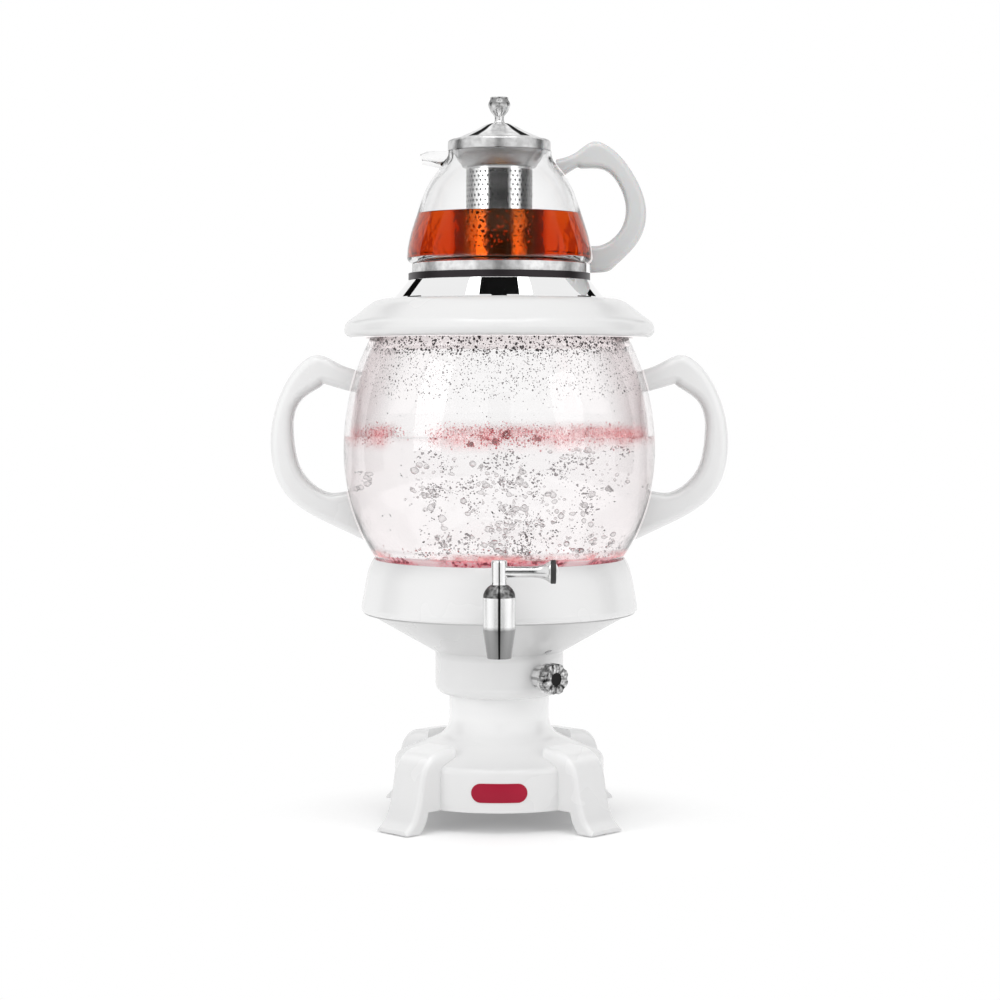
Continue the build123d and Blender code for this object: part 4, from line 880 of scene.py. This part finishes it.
condensation("steam_drops_rim", 2600, 330, STEAM_TOP_Z, 0.3, 1.05, drop_painted_dark)
condensation("steam_drops_shoulder", 900, 296, 332, 0.22, 0.5, drop_painted_dark, 0.35)
condensation("steam_mist_drops", 1600, 300, STEAM_TOP_Z, 0.3, 0.7, drop_painted_grey)
condensation("splash_specks", 160, 196, 300, 0.25, 0.5, drop_painted_dark, 0.3)
bubbles("boiling_bubbles", bead, 600, 46, 3.4, 0.5, 2.35, bubble_air)
bubbles("fine_bubbles", speck, 1500, 46, 3.0, 0.3, 0.8, drop_painted_grey)
bubbles("dark_bubbles", speck, 260, 40, 2.5, 0.3, 0.7, drop_painted_dark)
condensation("seal_bubbles", 420, 190, 198, 0.25, 0.7, red_speck)
clots = [(-19, 268.2, 1.0), (-3, 270.3, 2.2), (4, 274, 2.5), (-10, 275, 3), (26, 273, 3)]
foam_clots("waterline_clots", clots, 60, red_speck)
foam_specks("waterline_foam", 1800, 0.55, 3.0, pink_foam)
foam_specks("waterline_specks", 1300, 0.42, 2.6, red_speck)
for pattern in (bead, speck):
    bpy.data.objects.remove(pattern)

# ---- films and steam on the glass ----------------------------------------------------------------

FILM_WALL = 0.05
for name, low, high, depth, finish_used in (
    ("waterline_film", 256, 286, 0.1, pink_film),
    ("seal_film", 189, 195, 0.1, seal_film),
    ("steam_haze", 193, STEAM_TOP_Z, 0.25, steam_haze),
):
    heights = np.linspace(low, high, 24)
    film = turned([(inner_wall("globe", level) - depth, level) for level in heights], capped=False)
    thicken(film, FILM_WALL)
    settle(film, name, finish_used, "body")

# ---- tea in the teapot ---------------------------------------------------------------------------

tea_foot = [(30, 385.4), (51.6, 385.4), (58.5, 391.2), (58.6, 395.3), (61.7, 396.0), (63.0, 397.3)]
tea_side = [
    (inner_wall("teapot_glass", height) + WETTING, height)
    for height in np.linspace(398.5, TEA_Z, 8)
]
tea_top = [
    (inner_wall("teapot_glass", TEA_Z) - 0.8, TEA_Z - 0.5), (26, TEA_Z - 0.6), (10, TEA_Z - 0.6)
]
settle(turned(tea_foot + tea_side + tea_top, sides=96), "black_tea", black_tea, "teapot")

# ---- ring round the stand's lip, and bead of silicone in the seam under the band -----------------

lip_ring = closed_ring([(63.55, 381.4), (64.2, 381.4), (64.2, 386.0), (63.55, 386.0)])
settle(lip_ring, "stand_lip_ring", gunmetal, "lid")
# the bead is real silicone; its dark blotches are painted shadow of the seam
seam_shadow_bead = closed_ring(
    [(94.7, 145.9), (95.6, 145.9), (96.5, 146.5), (96.7, 147.1), (95.0, 147.1)]
)
settle(seam_shadow_bead, "seam_shadow_bead", seam_shadow_silicone, "body")

# ---- dark ring near the end of the tap's lever ---------------------------------------------------

RING_X, RING_R, RING_WIDTH, RING_ROUNDING = 35.6, 7.9, 3.6, 0.5
put_all_down()
bpy.ops.mesh.primitive_cylinder_add(
    vertices=48, radius=RING_R * MM, depth=RING_WIDTH * MM,
    location=(RING_X * MM, TAP_Y * MM, LEVER_Z * MM), rotation=(0, pi / 2, 0),
)
lever_ring = bpy.context.object
lever_ring.modifiers.new("rounding", "BEVEL").width = RING_ROUNDING * MM
take(lever_ring)
bpy.ops.object.modifier_apply(modifier="rounding")
settle(lever_ring, "lever_ring", black_rubber, "tap_plug")

# ---- badge on the foot ---------------------------------------------------------------------------


def badge():
    """A bare red pill-shaped plate that follows the round skirt of the foot."""
    width, height, level = 38.6, 13.2, 28.8
    border, thickness, rim_width, rim_drop, sunk = 0.9, 0.7, 0.5, 0.25, 0.1
    cuts, last_cut = 30, width / 2 - 0.6
    straight = (width - height) / 2 * MM
    put_all_down()
    bpy.ops.mesh.primitive_circle_add(
        vertices=64, radius=height / 2 * MM, location=(0, 0, level * MM), rotation=(pi / 2, 0, 0)
    )
    plate = bpy.context.object
    bpy.ops.object.transform_apply(location=True, rotation=True, scale=True)
    for point in plate.data.vertices:
        point.co.x += straight * (1 if point.co.x > 0 else -1)
    bpy.ops.object.mode_set(mode="EDIT")
    bpy.ops.mesh.select_all(action="SELECT")
    bpy.ops.mesh.edge_face_add()
    bpy.ops.mesh.inset(thickness=border * MM, depth=0)
    for cut in np.linspace(-last_cut, last_cut, cuts):
        bpy.ops.mesh.select_all(action="SELECT")
        bpy.ops.mesh.bisect(plane_co=(cut * MM, 0, 0), plane_no=(1, 0, 0))
    bpy.ops.mesh.select_all(action="SELECT")
    bpy.ops.mesh.extrude_region_move(
        TRANSFORM_OT_translate={"value": (0, -thickness * MM, 0)}
    )
    close_up()
    for point in plate.data.vertices:
        proud = -point.co.y
        edge = max(abs(point.co.x) - straight, 0)
        from_rim = height / 2 * MM - sqrt(edge**2 + (point.co.z - level * MM) ** 2)
        if proud > 0 and from_rim < rim_width * MM:
            proud -= rim_drop * MM
        point.co.y = -sqrt((SKIRT_R * MM) ** 2 - point.co.x**2) - proud + sunk * MM
    settle(plate, "foot_badge", badge_enamel, "body", smooth=50)


badge()

# ---- light, floor and camera ---------------------------------------------------------------------


def room():
    """White surroundings: full white where seen, mirrored or behind glass, and dimmer as light."""
    as_light = 0.5
    world = bpy.data.worlds.new("white_room")
    bpy.context.scene.world = world
    world.use_nodes = True
    tree = world.node_tree
    light = tree.nodes["Background"].inputs
    light["Color"].default_value = tint_of(1)
    rays = step(tree, "LightPath", {}).outputs
    seen = rays["Is Camera Ray"]
    for label in ("Is Glossy Ray", "Is Transmission Ray"):
        seen = reckon(tree, "MAXIMUM", seen, rays[label])
    feed(tree, light["Strength"], tuned(tree, seen, first=as_light))


def floor_sheet():
    """A pale floor that keeps the shadow near the samovar and turns plain white further out."""
    size, middle, fades_from, white_from, glow = 30, (0, -0.05, 0), 0.09, 0.2, 0.22
    put_all_down()
    bpy.ops.mesh.primitive_plane_add(size=size, location=(0, 0, 0))
    floor = bpy.context.object
    floor.name = "studio_floor"
    material, tree, skin = finish(
        "pale_floor", Base_Color=tint_of(0.9), Roughness=0.7, Emission_Color=tint_of(1)
    )
    seen = step(tree, "LightPath", {}).outputs["Is Camera Ray"]
    feed(tree, skin["Emission Strength"], reckon(tree, "MULTIPLY", seen, glow))
    ends = {0: point_of(tree), 1: middle}
    far = step(tree, "VectorMath", ends, operation="DISTANCE").outputs["Value"]
    fade = tuned(tree, far, fades_from, white_from, way="SMOOTHSTEP")
    pale = tree.nodes["Principled BSDF"].outputs["BSDF"]
    white = step(tree, "Emission", {}).outputs["Emission"]
    mix = step(tree, "MixShader", {"Fac": fade, 1: pale, 2: white}).outputs["Shader"]
    feed(tree, tree.nodes["Material Output"].inputs["Surface"], mix)
    floor.data.materials.append(material)


def aimed(place, aim, forward):
    """The turn that points one axis of a thing at a place towards another place."""
    return (Vector(aim) - Vector(place)).to_track_quat(forward, "Y").to_euler()


def softbox(name, place, aim, width, height, power, mirrored=True):
    """A soft rectangular lamp, kept out of mirrors if wished."""
    lamp = bpy.data.lights.new(name, "AREA")
    lamp.shape = "RECTANGLE"
    lamp.size, lamp.size_y, lamp.energy = width, height, power
    holder = bpy.data.objects.new(name, lamp)
    holder.visible_glossy = mirrored
    holder.location = place
    holder.rotation_euler = aimed(place, aim, "-Z")
    bpy.context.scene.collection.objects.link(holder)


def dark_card(name, place, aim, width, height, finish_used):
    """A studio card that only mirrors show."""
    put_all_down()
    bpy.ops.mesh.primitive_plane_add(size=1, location=place)
    card = bpy.context.object
    card.name = name
    card.rotation_euler = aimed(place, aim, "Z")
    card.scale = (width, height, 1)
    card.data.materials.append(finish_used)
    card.visible_camera = card.visible_diffuse = False
    card.visible_shadow = card.visible_transmission = False


card_black, card_grey = (
    finish(name, Base_Color=tint_of(grey), Roughness=1.0, Specular_IOR_Level=0.0)[0]
    for name, grey in (("card_black", 0.004), ("card_grey", 0.3))
)

room()
floor_sheet()
softbox("left_softbox", (-1.5, -1.1, 0.9), (0, 0, 0.25), 0.8, 1.4, 9, mirrored=False)
softbox("right_softbox", (1.5, -1.1, 0.8), (0, 0, 0.25), 0.8, 1.2, 6, mirrored=False)
softbox("top_softbox", (0, -0.6, 1.7), (0, 0, 0.3), 1.2, 1.0, 9)
dark_card("front_card", (0, -1.5, 0.3), (0, 0, 0.25), 0.42, 1.4, card_black)
dark_card("overhead_card", (0, -0.25, 1.5), (0, 0, 0.3), 0.55, 0.5, card_black)
dark_card("floor_card", (0, -0.8, 0.002), (0, -0.8, 1), 1.2, 0.7, card_grey)
for side in (-1, 1):
    dark_card("back_card", (side * 0.98, 1.4, 1.35), (0, 0, 0.35), 0.34, 0.9, card_black)
    dark_card("side_flag", (side * 1.6, 0.35, 0.6), (0, 0, 0.3), 0.7, 1.6, card_black)

LENS, SENSOR_WIDTH = 82.8, 36.0  # millimetres
CAMERA_PLACE, LOOKS_DOWN = (0.0005, -1.633, 0.3117), 3.015  # metres and degrees
camera = bpy.data.objects.new("front_camera", bpy.data.cameras.new("front_camera"))
camera.data.lens, camera.data.sensor_width = LENS, SENSOR_WIDTH
camera.location = CAMERA_PLACE
camera.rotation_euler = (radians(90 - LOOKS_DOWN), 0, 0)
bpy.context.scene.collection.objects.link(camera)
bpy.context.scene.camera = camera
bpy.context.scene.view_settings.view_transform = "Standard"
